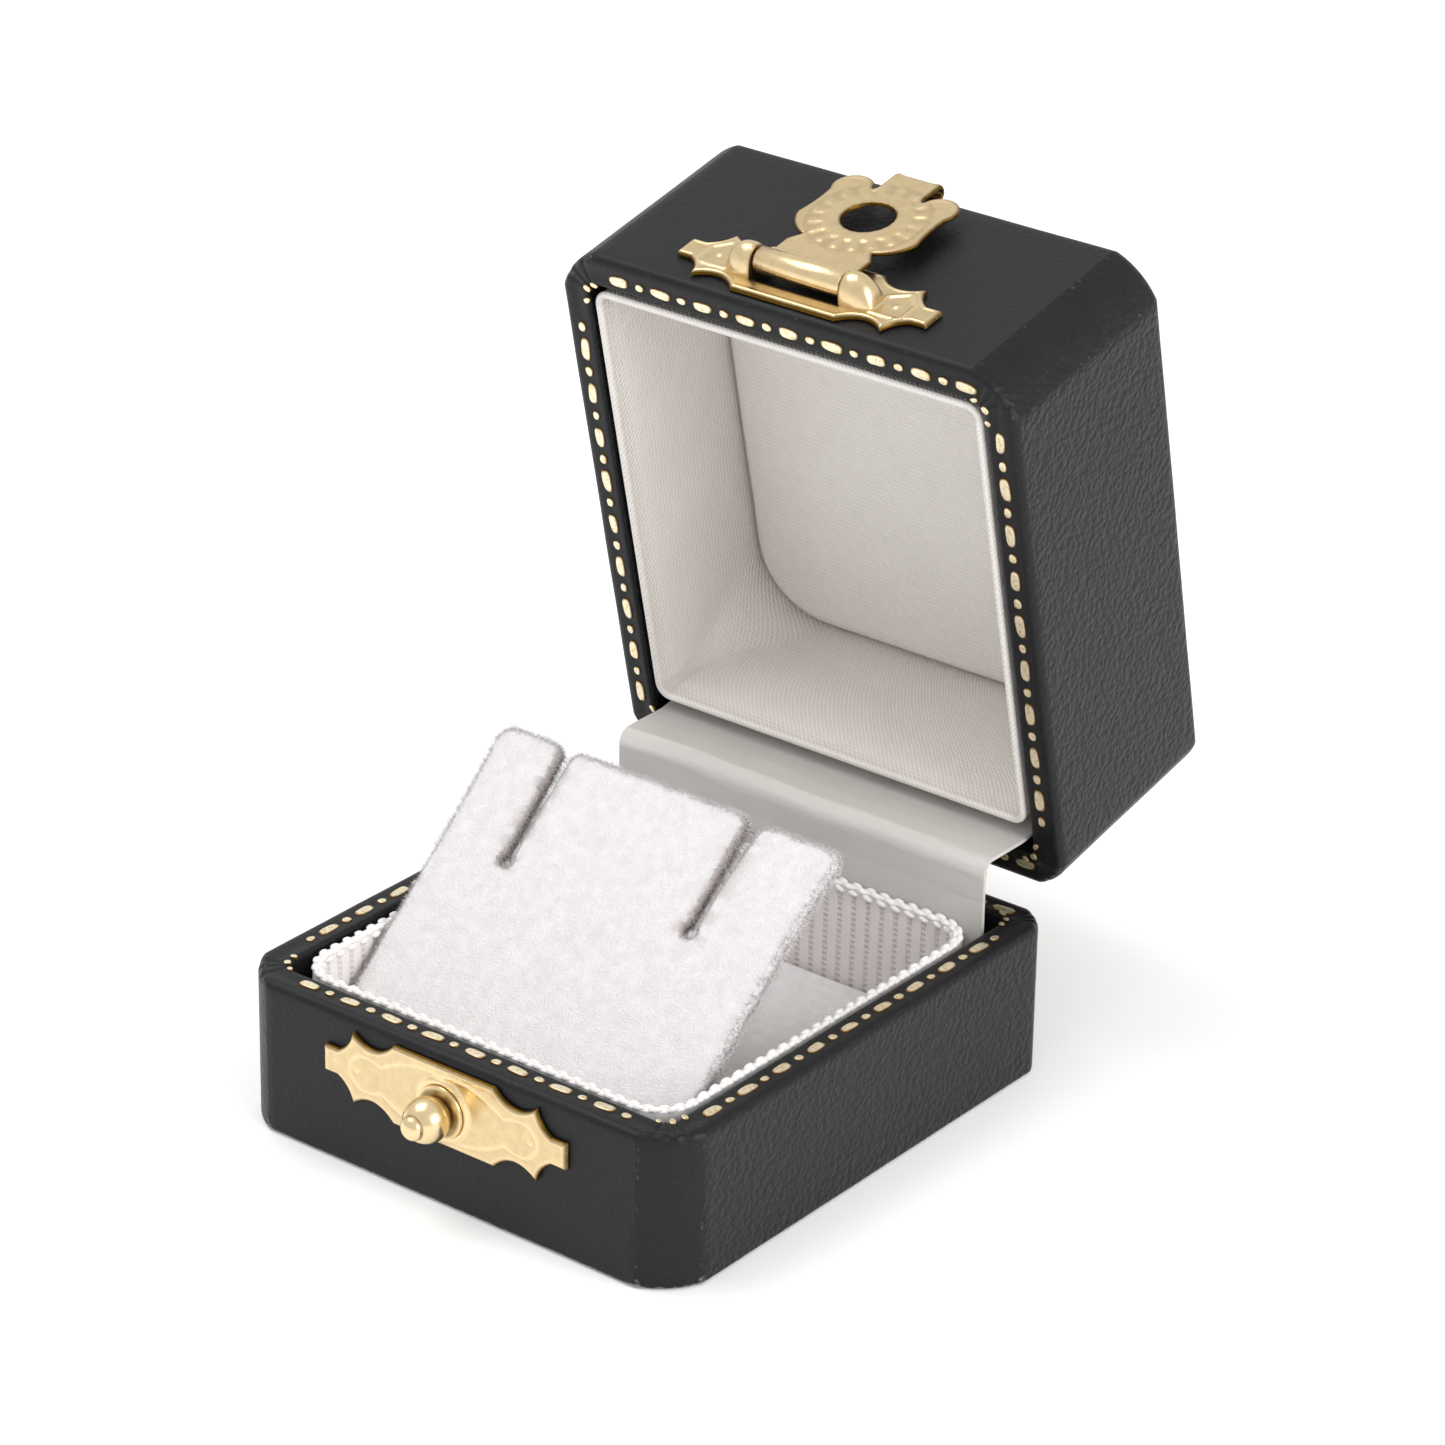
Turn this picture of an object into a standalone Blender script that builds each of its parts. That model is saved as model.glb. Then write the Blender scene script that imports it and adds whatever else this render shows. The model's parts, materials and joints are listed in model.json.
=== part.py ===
"""A small leather-covered jewelry box for earrings, in metres, +Z up, stored with its lid open.

The origin is the centre of the underside. The front, with the clasp, faces -Y. Lid pieces are drawn as
they sit on the closed box, and an empty on the hinge pins carries them all to the open position.
"""

import math

import bmesh
import bpy
from mathutils import Matrix, Vector

# The box, outside.
BOX_WIDTH = 0.0500
BOX_DEPTH = 0.0548
BASE_HEIGHT = 0.0150
LID_HEIGHT = 0.0223
FRONT_CORNER_RADIUS = 0.0042
BACK_CORNER_RADIUS = 0.0030
RIM_GAP = 0.0003
LID_OPEN_ANGLE = math.radians(77.2)

# Leather over board. GAP parts pieces that touch, FIT parts small metal pieces, and a cutter runs
# THROUGH past the wall that it cuts.
LEATHER = 0.0005
BOARD = 0.0016
GAP = 0.0003
FIT = 0.00015
THROUGH = 0.0020
WALL = LEATHER + GAP + BOARD + GAP + LEATHER
EDGE_ROUND = 0.0004
BOARD_EDGE_ROUND = 0.0005
TOP_EDGE_ROUND = 0.0012
RIM_FOLD = 0.0050
TURN_IN = 0.0045
FELT = 0.0005
FELT_FOOT = 0.0001

# The lining: a ribbon-covered tray in the base, and a satin band and cushion in the lid.
RIBBON_SPACE = 0.0030
TRAY_SIDE_GAP = 0.0006
TRAY_THICKNESS = 0.0008
TRAY_CORNER_RADIUS = 0.0042
FLOOR_PAD_THICKNESS = 0.0022
FLOOR_PAD_EDGE_ROUND = 0.0005
LINER_SIDE_GAP = 0.0005
LINER_THICKNESS = 0.0009
LINER_CORNER_RADIUS = 0.0028
CUSHION_THICKNESS = 0.0034
CUSHION_CROWN = 0.0006
CUSHION_EDGE_ROUND = 0.0008
CUSHION_SHOULDER = 0.0060
CUSHION_MIDDLE = 0.0120
CUSHION_CARD = 0.0006
RIBBON_WIDTH = 0.0420
RIBBON_THICKNESS = 0.00035
RIBBON_RISE = 0.0062
RIBBON_CREASE = 0.0007
RIBBON_TUCK_BASE = 0.0060
RIBBON_TUCK_LID = 0.0045

# The earring card, which slopes up from the front of the tray to just under the closed lid's cushion.
CARD_WIDTH = 0.0380
CARD_SHIFT = -0.0008
CARD_THICKNESS = 0.0013
CARD_FRONT_CLEARANCE = 0.0014
CARD_BACK_CLEARANCE = 0.0076
CARD_LIFT = 0.0006
CARD_TOP_CLEARANCE = 0.0008
CARD_CORNER_RADIUS = 0.0018
SLOT_SPACING = 0.0209
SLOT_SHIFT = -0.0009
SLOT_WIDTH = 0.0009
SLOT_LENGTH = 0.0124
SLOT_HOLE_RADIUS = 0.0009

# The brass hasp: a plate on each half, a leaf hinged to the lid's plate and a knob on the base's.
PLATE_THICKNESS = 0.0004
PLATE_HEIGHT = 0.0078
PLATE_HALF_LENGTH = 0.0137
BASE_PLATE_HEIGHT_UP = 0.0103
LID_PLATE_ABOVE_RIM = 0.0047
HASP_PIN_ABOVE_RIM = 0.00425
HASP_PIN_STAND_OFF = 0.00165
HASP_PIN_RADIUS = 0.0006
HASP_PIN_CLEARANCE = 0.0001
HASP_BARREL_RADIUS = 0.00125
HASP_BARREL_LENGTH = 0.0095
HOOP_RADIUS = 0.00175
HOOP_WIDTH = 0.0027
HOOP_END_WALL = 0.0005
WINDOW_HALF_HEIGHT = 0.00145
LEAF_THICKNESS = 0.0004
KNOB_UP = 0.0099
KNOB_BALL_RADIUS = 0.0021
KNOB_BALL_STAND_OFF = 0.0026
KNOB_NOSE = 0.0006
KNOB_HOLE_CLEARANCE = 0.00035
KNOB_FLANGE_RADIUS = 0.0025
KNOB_SHANK_RADIUS = 0.0009
TAB_HALF_WIDTH = 0.0025
TAB_CURL_RADIUS = 0.0006

# The two brass hinges on the back, each with a heel that stops the lid.
HINGE_PIN_BEHIND = 0.00145
HINGE_SPACING = 0.0188
HINGE_WIDTH = 0.0120
HINGE_LEAF_LENGTH = 0.0068
HINGE_LEAF_THICKNESS = 0.0004
KNUCKLE_RADIUS = 0.00125
CENTRE_KNUCKLE_WIDTH = 0.0040
HINGE_PIN_RADIUS = 0.0006
HEEL_LENGTH = 0.0028
NAIL_HEAD_RADIUS = 0.0007
NAIL_SHANK_RADIUS = 0.00035
NAIL_HEAD_HEIGHT = 0.0003
NAIL_FROM_PIN = 0.0048
NAIL_SPACING = 0.0084

CORNER_STEPS = 6
ROUND_STEPS = 24

FRONT_FACE = -BOX_DEPTH / 2
BACK_FACE = BOX_DEPTH / 2
LID_RIM = BASE_HEIGHT + RIM_GAP
HINGE_AXIS = Vector((0, BACK_FACE + HINGE_PIN_BEHIND, BASE_HEIGHT + RIM_GAP / 2))
HASP_AXIS = Vector((0, FRONT_FACE - HASP_PIN_STAND_OFF, LID_RIM + HASP_PIN_ABOVE_RIM))

LEATHER_LOOK = ("black leather", (0.035, 0.037, 0.041), 0.45, 0.0)
BOARD_LOOK = ("grey board", (0.42, 0.39, 0.34), 0.9, 0.0)
SATIN_LOOK = ("ivory satin", (0.72, 0.69, 0.66), 0.4, 0.0)
GROSGRAIN_LOOK = ("white grosgrain", (0.85, 0.83, 0.81), 0.8, 0.0)
FLOCK_LOOK = ("white flock", (0.87, 0.84, 0.84), 0.95, 0.0)
BRASS_LOOK = ("pale brass", (0.80, 0.61, 0.32), 0.28, 1.0)
FELT_LOOK = ("black felt", (0.03, 0.03, 0.03), 0.95, 0.0)


def clear_scene():
    for old in list(bpy.data.objects):
        bpy.data.objects.remove(old, do_unlink=True)


def make_material(look):
    name, colour, roughness, metallic = look
    material = bpy.data.materials.get(name) or bpy.data.materials.new(name)
    material.use_nodes = True
    shader = material.node_tree.nodes["Principled BSDF"]
    shader.inputs["Base Color"].default_value = (*colour, 1.0)
    shader.inputs["Roughness"].default_value = roughness
    shader.inputs["Metallic"].default_value = metallic
    return material


def make_axis(name, place, turn=0.0, parent=None):
    """An empty on a joint's axis. Its children are drawn with the axis in its unturned place."""
    axis = bpy.data.objects.new(name, None)
    bpy.context.scene.collection.objects.link(axis)
    axis.location = place - Vector(parent["pivot"] if parent else (0, 0, 0))
    axis.rotation_euler.x = turn
    axis.parent = parent
    axis["pivot"] = place
    return axis


def add_object(name, mesh, look, axis=None):
    """One named piece. Its mesh is drawn in the box's frame, and moved to be about its axis if it has one."""
    mesh.materials.append(make_material(look))
    piece = bpy.data.objects.new(name, mesh)
    bpy.context.scene.collection.objects.link(piece)
    if axis:
        mesh.transform(Matrix.Translation(-Vector(axis["pivot"])))
        piece.parent = axis
    return piece


def mesh_of(name, points, faces):
    shape = bmesh.new()
    corners = [shape.verts.new(point) for point in points]
    for face in faces:
        shape.faces.new([corners[i] for i in face])
    bmesh.ops.recalc_face_normals(shape, faces=shape.faces)
    mesh = bpy.data.meshes.new(name)
    shape.to_mesh(mesh)
    shape.free()
    mesh.shade_smooth()
    mesh.set_sharp_from_angle(angle=math.radians(35))
    return mesh


def skin_over(name, loops, is_ring):
    """A closed surface over loops of equal length: a ring returns to its first loop, and others are capped."""
    count = len(loops[0])
    points = [point for loop in loops for point in loop]
    faces = []
    for row in range(len(loops) if is_ring else len(loops) - 1):
        after = (row + 1) % len(loops)
        for i in range(count):
            j = (i + 1) % count
            faces.append((row * count + i, row * count + j, after * count + j, after * count + i))
    if not is_ring:
        faces.append(range(count))
        faces.append(range((len(loops) - 1) * count, len(loops) * count))
    return mesh_of(name, points, faces)


class Outline:
    """A rectangle seen from above, with one radius at its front corners and one at its back corners."""

    def __init__(self, half_width, front, back, front_radius, back_radius):
        self.half_width = half_width
        self.front = front
        self.back = back
        self.front_radius = front_radius
        self.back_radius = back_radius

    def inset(self, distance):
        smallest = 0.0003
        return Outline(
            self.half_width - distance,
            self.front + distance,
            self.back - distance,
            max(self.front_radius - distance, smallest),
            max(self.back_radius - distance, smallest),
        )

    def loop(self, height):
        right = self.half_width
        near, far = self.front_radius, self.back_radius
        corners = (
            (right - near, self.front + near, near, -90),
            (right - far, self.back - far, far, 0),
            (far - right, self.back - far, far, 90),
            (near - right, self.front + near, near, 180),
        )
        points = []
        for x, y, radius, start in corners:
            for step in range(CORNER_STEPS + 1):
                angle = math.radians(start + 90 * step / CORNER_STEPS)
                points.append((x + radius * math.cos(angle), y + radius * math.sin(angle), height))
        return points


BOX = Outline(BOX_WIDTH / 2, FRONT_FACE, BACK_FACE, FRONT_CORNER_RADIUS, BACK_CORNER_RADIUS)
TRAY = Outline(
    BOX_WIDTH / 2 - WALL - TRAY_SIDE_GAP,
    FRONT_FACE + WALL + TRAY_SIDE_GAP,
    BACK_FACE - WALL - RIBBON_SPACE,
    TRAY_CORNER_RADIUS,
    TRAY_CORNER_RADIUS,
)
LINER = Outline(
    BOX_WIDTH / 2 - WALL - LINER_SIDE_GAP,
    FRONT_FACE + WALL + LINER_SIDE_GAP,
    BACK_FACE - WALL - RIBBON_SPACE,
    LINER_CORNER_RADIUS,
    LINER_CORNER_RADIUS,
)


def round_over(inset, height, radius, from_angle, to_angle, steps=3):
    """(inset, height) points on an arc about a centre. Angle 0 points inwards and 90 points up."""
    points = []
    for step in range(steps + 1):
        angle = math.radians(from_angle + (to_angle - from_angle) * step / steps)
        points.append((inset + radius * math.cos(angle), height + radius * math.sin(angle)))
    return points


def wrap(name, outline, profile, is_ring):
    """Carries a profile of (inset, height) points round an outline."""
    return skin_over(name, [outline.inset(inset).loop(height) for inset, height in profile], is_ring)


def slab(name, outline, low, high, edge=0.0):
    profile = [(0, low), (0, high)]
    if edge:
        profile = round_over(edge, low + edge, edge, 270, 180) + round_over(edge, high - edge, edge, 180, 90)
    return wrap(name, outline, profile, False)


def band(name, outline, thickness, low, high):
    """An upright band of board, with its top and bottom edges square."""
    return wrap(name, outline, [(0, low), (0, high), (thickness, high), (thickness, low)], True)


def extrude(name, outline, to_front, to_back):
    """A closed 2-D outline made solid: the two functions place each of its points on the two faces."""
    return skin_over(name, [[to_front(*p) for p in outline], [to_back(*p) for p in outline]], False)


def arc_between(start, end, bulge, steps=5):
    """Points after start and up to end, on a curve that swings out to the right of the line by bulge."""
    run, rise = end[0] - start[0], end[1] - start[1]
    length = math.hypot(run, rise)
    points = []
    for step in range(1, steps + 1):
        t = step / steps
        out = 4 * t * (1 - t) * bulge / length
        points.append((start[0] + run * t + rise * out, start[1] + rise * t - run * out))
    return points


def circle(x, y, radius, start=0, turn=360, steps=ROUND_STEPS):
    count = steps if abs(turn) == 360 else steps + 1
    angles = [math.radians(start + turn * step / steps) for step in range(count)]
    return [(x + radius * math.cos(a), y + radius * math.sin(a)) for a in angles]


def cylinder_along_x(name, radius, x_low, x_high, y, z, steps=ROUND_STEPS):
    ring = circle(y, z, radius, steps=steps)
    return extrude(name, ring, lambda a, b: (x_low, a, b), lambda a, b: (x_high, a, b))


def cylinder_along_y(name, radius, y_low, y_high, x, z, steps=ROUND_STEPS):
    ring = circle(x, z, radius, steps=steps)
    return extrude(name, ring, lambda a, b: (a, y_low, b), lambda a, b: (a, y_high, b))


def block(name, low, high):
    corners = [(low[0], low[1]), (high[0], low[1]), (high[0], high[1]), (low[0], high[1])]
    return extrude(name, corners, lambda x, y: (x, y, low[2]), lambda x, y: (x, y, high[2]))


def combine(piece, operation, mesh, axis=None):
    """Joins a shape to a piece, or cuts it out, with an EXACT Boolean whose helper isn't rendered."""
    helper = add_object(piece.name + "_" + mesh.name, mesh, BRASS_LOOK, axis)
    helper.hide_render = True
    helper.display_type = "WIRE"
    step = piece.modifiers.new(mesh.name, "BOOLEAN")
    step.operation = operation
    step.solver = "EXACT"
    step.object = helper


def make_base():
    """The base's board walls and floor, the leather that wraps them, and the felt under it."""
    leather_floor = FELT_FOOT + LEATHER
    board_low = leather_floor + GAP
    board_high = BASE_HEIGHT - LEATHER - GAP
    fold_low = BASE_HEIGHT - RIM_FOLD
    profile = [(TURN_IN, FELT_FOOT)]
    profile += round_over(EDGE_ROUND, FELT_FOOT + EDGE_ROUND, EDGE_ROUND, 270, 180)
    profile += round_over(EDGE_ROUND, BASE_HEIGHT - EDGE_ROUND, EDGE_ROUND, 180, 90)
    profile += round_over(WALL - EDGE_ROUND, BASE_HEIGHT - EDGE_ROUND, EDGE_ROUND, 90, 0)
    profile += [(WALL, fold_low), (WALL - LEATHER, fold_low), (WALL - LEATHER, BASE_HEIGHT - LEATHER)]
    profile += [(LEATHER, BASE_HEIGHT - LEATHER), (LEATHER, leather_floor), (TURN_IN, leather_floor)]
    add_object("base_leather_cover", wrap("base_leather_cover", BOX, profile, True), LEATHER_LOOK)

    walls = band("base_wall_boards", BOX.inset(LEATHER + GAP), BOARD, board_low, board_high)
    add_object("base_wall_boards", walls, BOARD_LOOK)
    floor = slab("base_floor_board", BOX.inset(WALL - LEATHER), board_low, board_low + BOARD)
    add_object("base_floor_board", floor, BOARD_LOOK)
    felt = slab("base_felt", BOX.inset(TURN_IN + GAP), 0, FELT)
    add_object("base_felt", felt, FELT_LOOK)
    return board_low + BOARD


def make_tray(floor_top):
    """The ribbon-covered tray that stands in the base, and the flocked pad on its floor."""
    tray_low = floor_top + GAP
    collar = band("tray_collar", TRAY, TRAY_THICKNESS, tray_low, BASE_HEIGHT)
    add_object("tray_collar", collar, GROSGRAIN_LOOK)
    pad_top = tray_low + FLOOR_PAD_THICKNESS
    pad = slab("tray_floor_pad", TRAY.inset(TRAY_THICKNESS + GAP), tray_low, pad_top, FLOOR_PAD_EDGE_ROUND)
    add_object("tray_floor_pad", pad, FLOCK_LOOK)
    return pad_top


def make_lid(lid_axis):
    """The lid's board walls and top, the leather over them, the satin band, and the cushion in its top."""
    low, top = LID_RIM, LID_RIM + LID_HEIGHT
    fold = low + RIM_FOLD
    inner_top = top - LEATHER
    profile = round_over(TOP_EDGE_ROUND, top - TOP_EDGE_ROUND, TOP_EDGE_ROUND, 90, 180, 4)
    profile += round_over(EDGE_ROUND, low + EDGE_ROUND, EDGE_ROUND, 180, 270)
    profile += round_over(WALL - EDGE_ROUND, low + EDGE_ROUND, EDGE_ROUND, 270, 360)
    profile += [(WALL, fold), (WALL - LEATHER, fold), (WALL - LEATHER, low + LEATHER)]
    inner_round = TOP_EDGE_ROUND - LEATHER
    profile += [(LEATHER, low + LEATHER)]
    profile += round_over(TOP_EDGE_ROUND, inner_top - inner_round, inner_round, 180, 90, 4)
    cover = wrap("lid_leather_cover", BOX, profile, False)
    add_object("lid_leather_cover", cover, LEATHER_LOOK, lid_axis)

    board_top = inner_top - GAP
    board_low = board_top - BOARD
    inside = BOX.inset(LEATHER + GAP)
    top_board = slab("lid_top_board", inside, board_low, board_top, edge=BOARD_EDGE_ROUND)
    add_object("lid_top_board", top_board, BOARD_LOOK, lid_axis)
    walls = band("lid_wall_boards", inside, BOARD, low + LEATHER + GAP, board_low - GAP)
    add_object("lid_wall_boards", walls, BOARD_LOOK, lid_axis)
    liner = band("lid_satin_liner", LINER, LINER_THICKNESS, low, board_low - GAP)
    add_object("lid_satin_liner", liner, SATIN_LOOK, lid_axis)

    room = LINER.inset(LINER_THICKNESS + GAP)
    card_low = board_low - GAP - CUSHION_CARD
    card = slab("lid_cushion_card", room, card_low, board_low - GAP)
    add_object("lid_cushion_card", card, BOARD_LOOK, lid_axis)
    cushion_top = card_low - GAP
    edge_low = cushion_top - CUSHION_THICKNESS
    crown = edge_low - CUSHION_CROWN
    profile = [(0, cushion_top), (0, edge_low + CUSHION_EDGE_ROUND), (CUSHION_EDGE_ROUND, edge_low)]
    profile += [(CUSHION_SHOULDER, (edge_low + crown) / 2), (CUSHION_MIDDLE, crown)]
    cushion = wrap("lid_cushion", room, profile, False)
    add_object("lid_cushion", cushion, SATIN_LOOK, lid_axis)
    return crown


def make_hinge_ribbon():
    """The satin ribbon inside the back: up behind the tray, over a crest, and back behind the lid's band."""
    in_base = TRAY.back + GAP + RIBBON_THICKNESS / 2
    crest_height = BASE_HEIGHT + RIBBON_RISE
    crease = RIBBON_CREASE
    opened = Matrix.Rotation(-LID_OPEN_ANGLE, 3, "X")
    behind_band = (LINER.back + BACK_FACE - WALL) / 2 - HINGE_AXIS.y
    tucked = [
        opened @ Vector((0, behind_band, LID_RIM + up - HINGE_AXIS.z)) + HINGE_AXIS
        for up in (GAP, RIBBON_TUCK_LID)
    ]
    line = [(in_base, BASE_HEIGHT - RIBBON_TUCK_BASE), (in_base, crest_height - crease)]
    line += [(in_base + crease / 4, crest_height - crease / 4), (in_base + crease, crest_height)]
    line += [(point.y, point.z) for point in tucked]
    left, right = [], []
    for i, (y, z) in enumerate(line):
        before, after = line[max(i - 1, 0)], line[min(i + 1, len(line) - 1)]
        along = Vector((after[0] - before[0], after[1] - before[1])).normalized()
        across = Vector((-along.y, along.x)) * RIBBON_THICKNESS / 2
        left.append((y + across.x, z + across.y))
        right.append((y - across.x, z - across.y))
    half = RIBBON_WIDTH / 2
    outline = left + right[::-1]
    mesh = extrude("hinge_ribbon", outline, lambda y, z: (-half, y, z), lambda y, z: (half, y, z))
    add_object("hinge_ribbon", mesh, SATIN_LOOK)


def card_outline(length):
    """The earring card lying flat: x across it, and the other number the distance up from its hinge edge."""
    half, corner = CARD_WIDTH / 2, CARD_CORNER_RADIUS
    near = TRAY_CORNER_RADIUS
    points = circle(near - half, near, near, 180, 90, 5) + circle(half - near, near, near, 270, 90, 5)
    points += circle(half - corner, length - corner, corner, 0, 90, 5)
    slot_end = length - SLOT_LENGTH
    for x in (SLOT_SHIFT + SLOT_SPACING / 2, SLOT_SHIFT - SLOT_SPACING / 2):
        side = SLOT_WIDTH / 2
        points += circle(x + side + corner / 2, length - corner / 2, corner / 2, 90, 90, 3)
        neck = math.degrees(math.acos(side / SLOT_HOLE_RADIUS))
        points += circle(x, slot_end, SLOT_HOLE_RADIUS, neck, -180 - 2 * neck, 10)
        points += circle(x - side - corner / 2, length - corner / 2, corner / 2, 0, 90, 3)
    points += circle(corner - half, length - corner, corner, 90, 90, 5)
    return points


def make_earring_card(pad_top, closed_cushion):
    """The slotted card, hinged along its front edge. It rises until it just clears the closed cushion."""
    tray_front = TRAY.front + TRAY_THICKNESS
    tray_back = TRAY.back - TRAY_THICKNESS
    length = tray_back - tray_front - CARD_FRONT_CLEARANCE - CARD_BACK_CLEARANCE
    pivot = Vector((0, tray_front + CARD_FRONT_CLEARANCE, pad_top + CARD_LIFT))
    rise = closed_cushion - CARD_TOP_CLEARANCE - CARD_THICKNESS - pivot.z
    slope = math.asin(min(rise / length, 0.95))
    axis = make_axis("card_axis", pivot, slope)
    mesh = extrude(
        "earring_card",
        card_outline(length),
        lambda x, s: (x + CARD_SHIFT, pivot.y + s, pivot.z),
        lambda x, s: (x + CARD_SHIFT, pivot.y + s, pivot.z + CARD_THICKNESS),
    )
    add_object("earring_card", mesh, FLOCK_LOOK, axis)


def plate_outline(middle):
    """The hasp plates' scalloped outline, about (0, middle): x along it and height across it."""
    half = PLATE_HEIGHT / 2
    shoulder, lobe = (0.0057, half), (PLATE_HALF_LENGTH - 0.0033, half * 0.92)
    notch = (PLATE_HALF_LENGTH - 0.0016, half * 0.34)
    quarter = [shoulder]
    quarter += arc_between(shoulder, lobe, 0.0011)
    quarter += arc_between(lobe, notch, 0.0003, 3)
    quarter += [(PLATE_HALF_LENGTH, half * 0.34)]
    right = [(x, -z) for x, z in quarter] + [(x, z) for x, z in reversed(quarter)]
    left = [(-x, -z) for x, z in reversed(right)]
    return [(x, z + middle) for x, z in right + [(x, -z) for x, z in left]]


def make_plate(name, middle, axis=None):
    front = FRONT_FACE - FIT - PLATE_THICKNESS
    return add_object(
        name,
        extrude(
            name,
            plate_outline(middle),
            lambda x, z: (x, front, z),
            lambda x, z: (x, front + PLATE_THICKNESS, z),
        ),
        BRASS_LOOK,
        axis,
    )


def make_clasp():
    """The base's plate with its turned knob, whose shank sits in the plate."""
    plate = make_plate("clasp_plate", BASE_PLATE_HEIGHT_UP)
    bore = KNOB_SHANK_RADIUS + FIT
    hole = cylinder_along_y("shank_hole", bore, FRONT_FACE - THROUGH, FRONT_FACE, 0, KNOB_UP)
    combine(plate, "DIFFERENCE", hole)

    face = FIT + PLATE_THICKNESS
    flange_front = face + FIT + 0.0004
    nose_tip = KNOB_BALL_STAND_OFF + KNOB_BALL_RADIUS + KNOB_NOSE
    profile = [(KNOB_SHANK_RADIUS, 0.0001), (KNOB_SHANK_RADIUS, face + FIT)]
    profile += [(KNOB_FLANGE_RADIUS, face + FIT), (KNOB_FLANGE_RADIUS * 0.96, flange_front)]
    for step in range(1, 9):
        angle = math.radians(-62 + 124 * step / 9)
        ball = KNOB_BALL_RADIUS
        profile.append((ball * math.cos(angle), KNOB_BALL_STAND_OFF + ball * math.sin(angle)))
    profile += [(KNOB_BALL_RADIUS * 0.46, nose_tip - 0.0003), (KNOB_BALL_RADIUS * 0.25, nose_tip)]
    loops = [
        [(x, FRONT_FACE - out, z) for x, z in circle(0, KNOB_UP, radius)]
        for radius, out in profile
    ]
    add_object("clasp_knob", skin_over("clasp_knob", loops, False), BRASS_LOOK)


def make_hasp(lid_axis):
    """The lid's plate, whose two hoops hold the pin, and the leaf that turns on it."""
    plate = make_plate("hasp_plate", LID_RIM + LID_PLATE_ABOVE_RIM, lid_axis)
    y, z = HASP_AXIS.y, HASP_AXIS.z
    barrel_half = HASP_BARREL_LENGTH / 2
    hoop_start = barrel_half + FIT
    hoop_end = hoop_start + HOOP_WIDTH
    pin_end = hoop_end - HOOP_END_WALL
    bore = HASP_PIN_RADIUS + HASP_PIN_CLEARANCE
    seat = FRONT_FACE - FIT - PLATE_THICKNESS / 2
    for side, (low, high) in (("right", (hoop_start, hoop_end)), ("left", (-hoop_end, -hoop_start))):
        arch = circle(y, z, HOOP_RADIUS, 90, 180, 12)
        arch += [(seat, z - HOOP_RADIUS), (seat, z + HOOP_RADIUS)]
        hoop = extrude(f"{side}_hoop", arch, lambda a, b, x=low: (x, a, b), lambda a, b, x=high: (x, a, b))
        combine(plate, "UNION", hoop, lid_axis)
    window_low = (-hoop_start, FRONT_FACE - THROUGH, z - WINDOW_HALF_HEIGHT)
    window_high = (hoop_start, FRONT_FACE, z + WINDOW_HALF_HEIGHT)
    combine(plate, "DIFFERENCE", block("window", window_low, window_high), lid_axis)
    reach = pin_end + HASP_PIN_CLEARANCE
    combine(plate, "DIFFERENCE", cylinder_along_x("pin_bore", bore, -reach, reach, y, z), lid_axis)
    pin = cylinder_along_x("hasp_pin", HASP_PIN_RADIUS, -pin_end, pin_end, y, z)
    add_object("hasp_pin", pin, BRASS_LOOK, lid_axis)

    leaf_axis = make_axis("hasp_axis", HASP_AXIS, 0.0, lid_axis)
    leaf = add_object("hasp_leaf", leaf_mesh(barrel_half), BRASS_LOOK, leaf_axis)
    barrel = cylinder_along_x("barrel", HASP_BARREL_RADIUS, -barrel_half, barrel_half, y, z)
    combine(leaf, "UNION", barrel, leaf_axis)
    combine(leaf, "UNION", thumb_tab(), leaf_axis)
    past = barrel_half + THROUGH
    combine(leaf, "DIFFERENCE", cylinder_along_x("bore", bore, -past, past, y, z), leaf_axis)
    hole_up = HASP_AXIS.z + HASP_AXIS.z - KNOB_UP
    radius = KNOB_BALL_RADIUS + KNOB_HOLE_CLEARANCE
    hole = cylinder_along_y("knob_hole", radius, y - THROUGH, y + THROUGH, 0, hole_up)
    combine(leaf, "DIFFERENCE", hole, leaf_axis)


def leaf_reach():
    """How far the leaf's shield reaches from the pin, past the hole that drops over the knob."""
    return HASP_AXIS.z - KNOB_UP + 0.0060


def leaf_mesh(barrel_half):
    """The leaf thrown back: a neck from the barrel, then a shield with two ears, as wide as it is long."""
    tip = leaf_reach()
    neck, waist = (barrel_half - 0.0001, 0.0040), (0.0039, 0.0050)
    shoulder, ear_low = (0.0065, 0.0078), (0.0063, tip - 0.0043)
    ear = (0.0047, tip - 0.0021)
    edge = [(barrel_half - 0.0001, HASP_PIN_RADIUS), neck]
    edge += arc_between(neck, waist, -0.0002, 3)
    edge += arc_between(waist, shoulder, -0.0003, 4)
    edge += arc_between(shoulder, ear_low, -0.0005, 4)
    edge += circle(ear[0], ear[1], 0.0020, -30, 130, 8)
    edge += [(0.0030, tip - 0.0009), (0.0030, tip - 0.0006)]
    outline = edge + [(-x, up) for x, up in reversed(edge)]
    y, z = HASP_AXIS.y, HASP_AXIS.z
    half = LEAF_THICKNESS / 2
    return extrude(
        "hasp_leaf",
        outline,
        lambda x, up: (x, y - half, z + up),
        lambda x, up: (x, y + half, z + up),
    )


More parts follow.
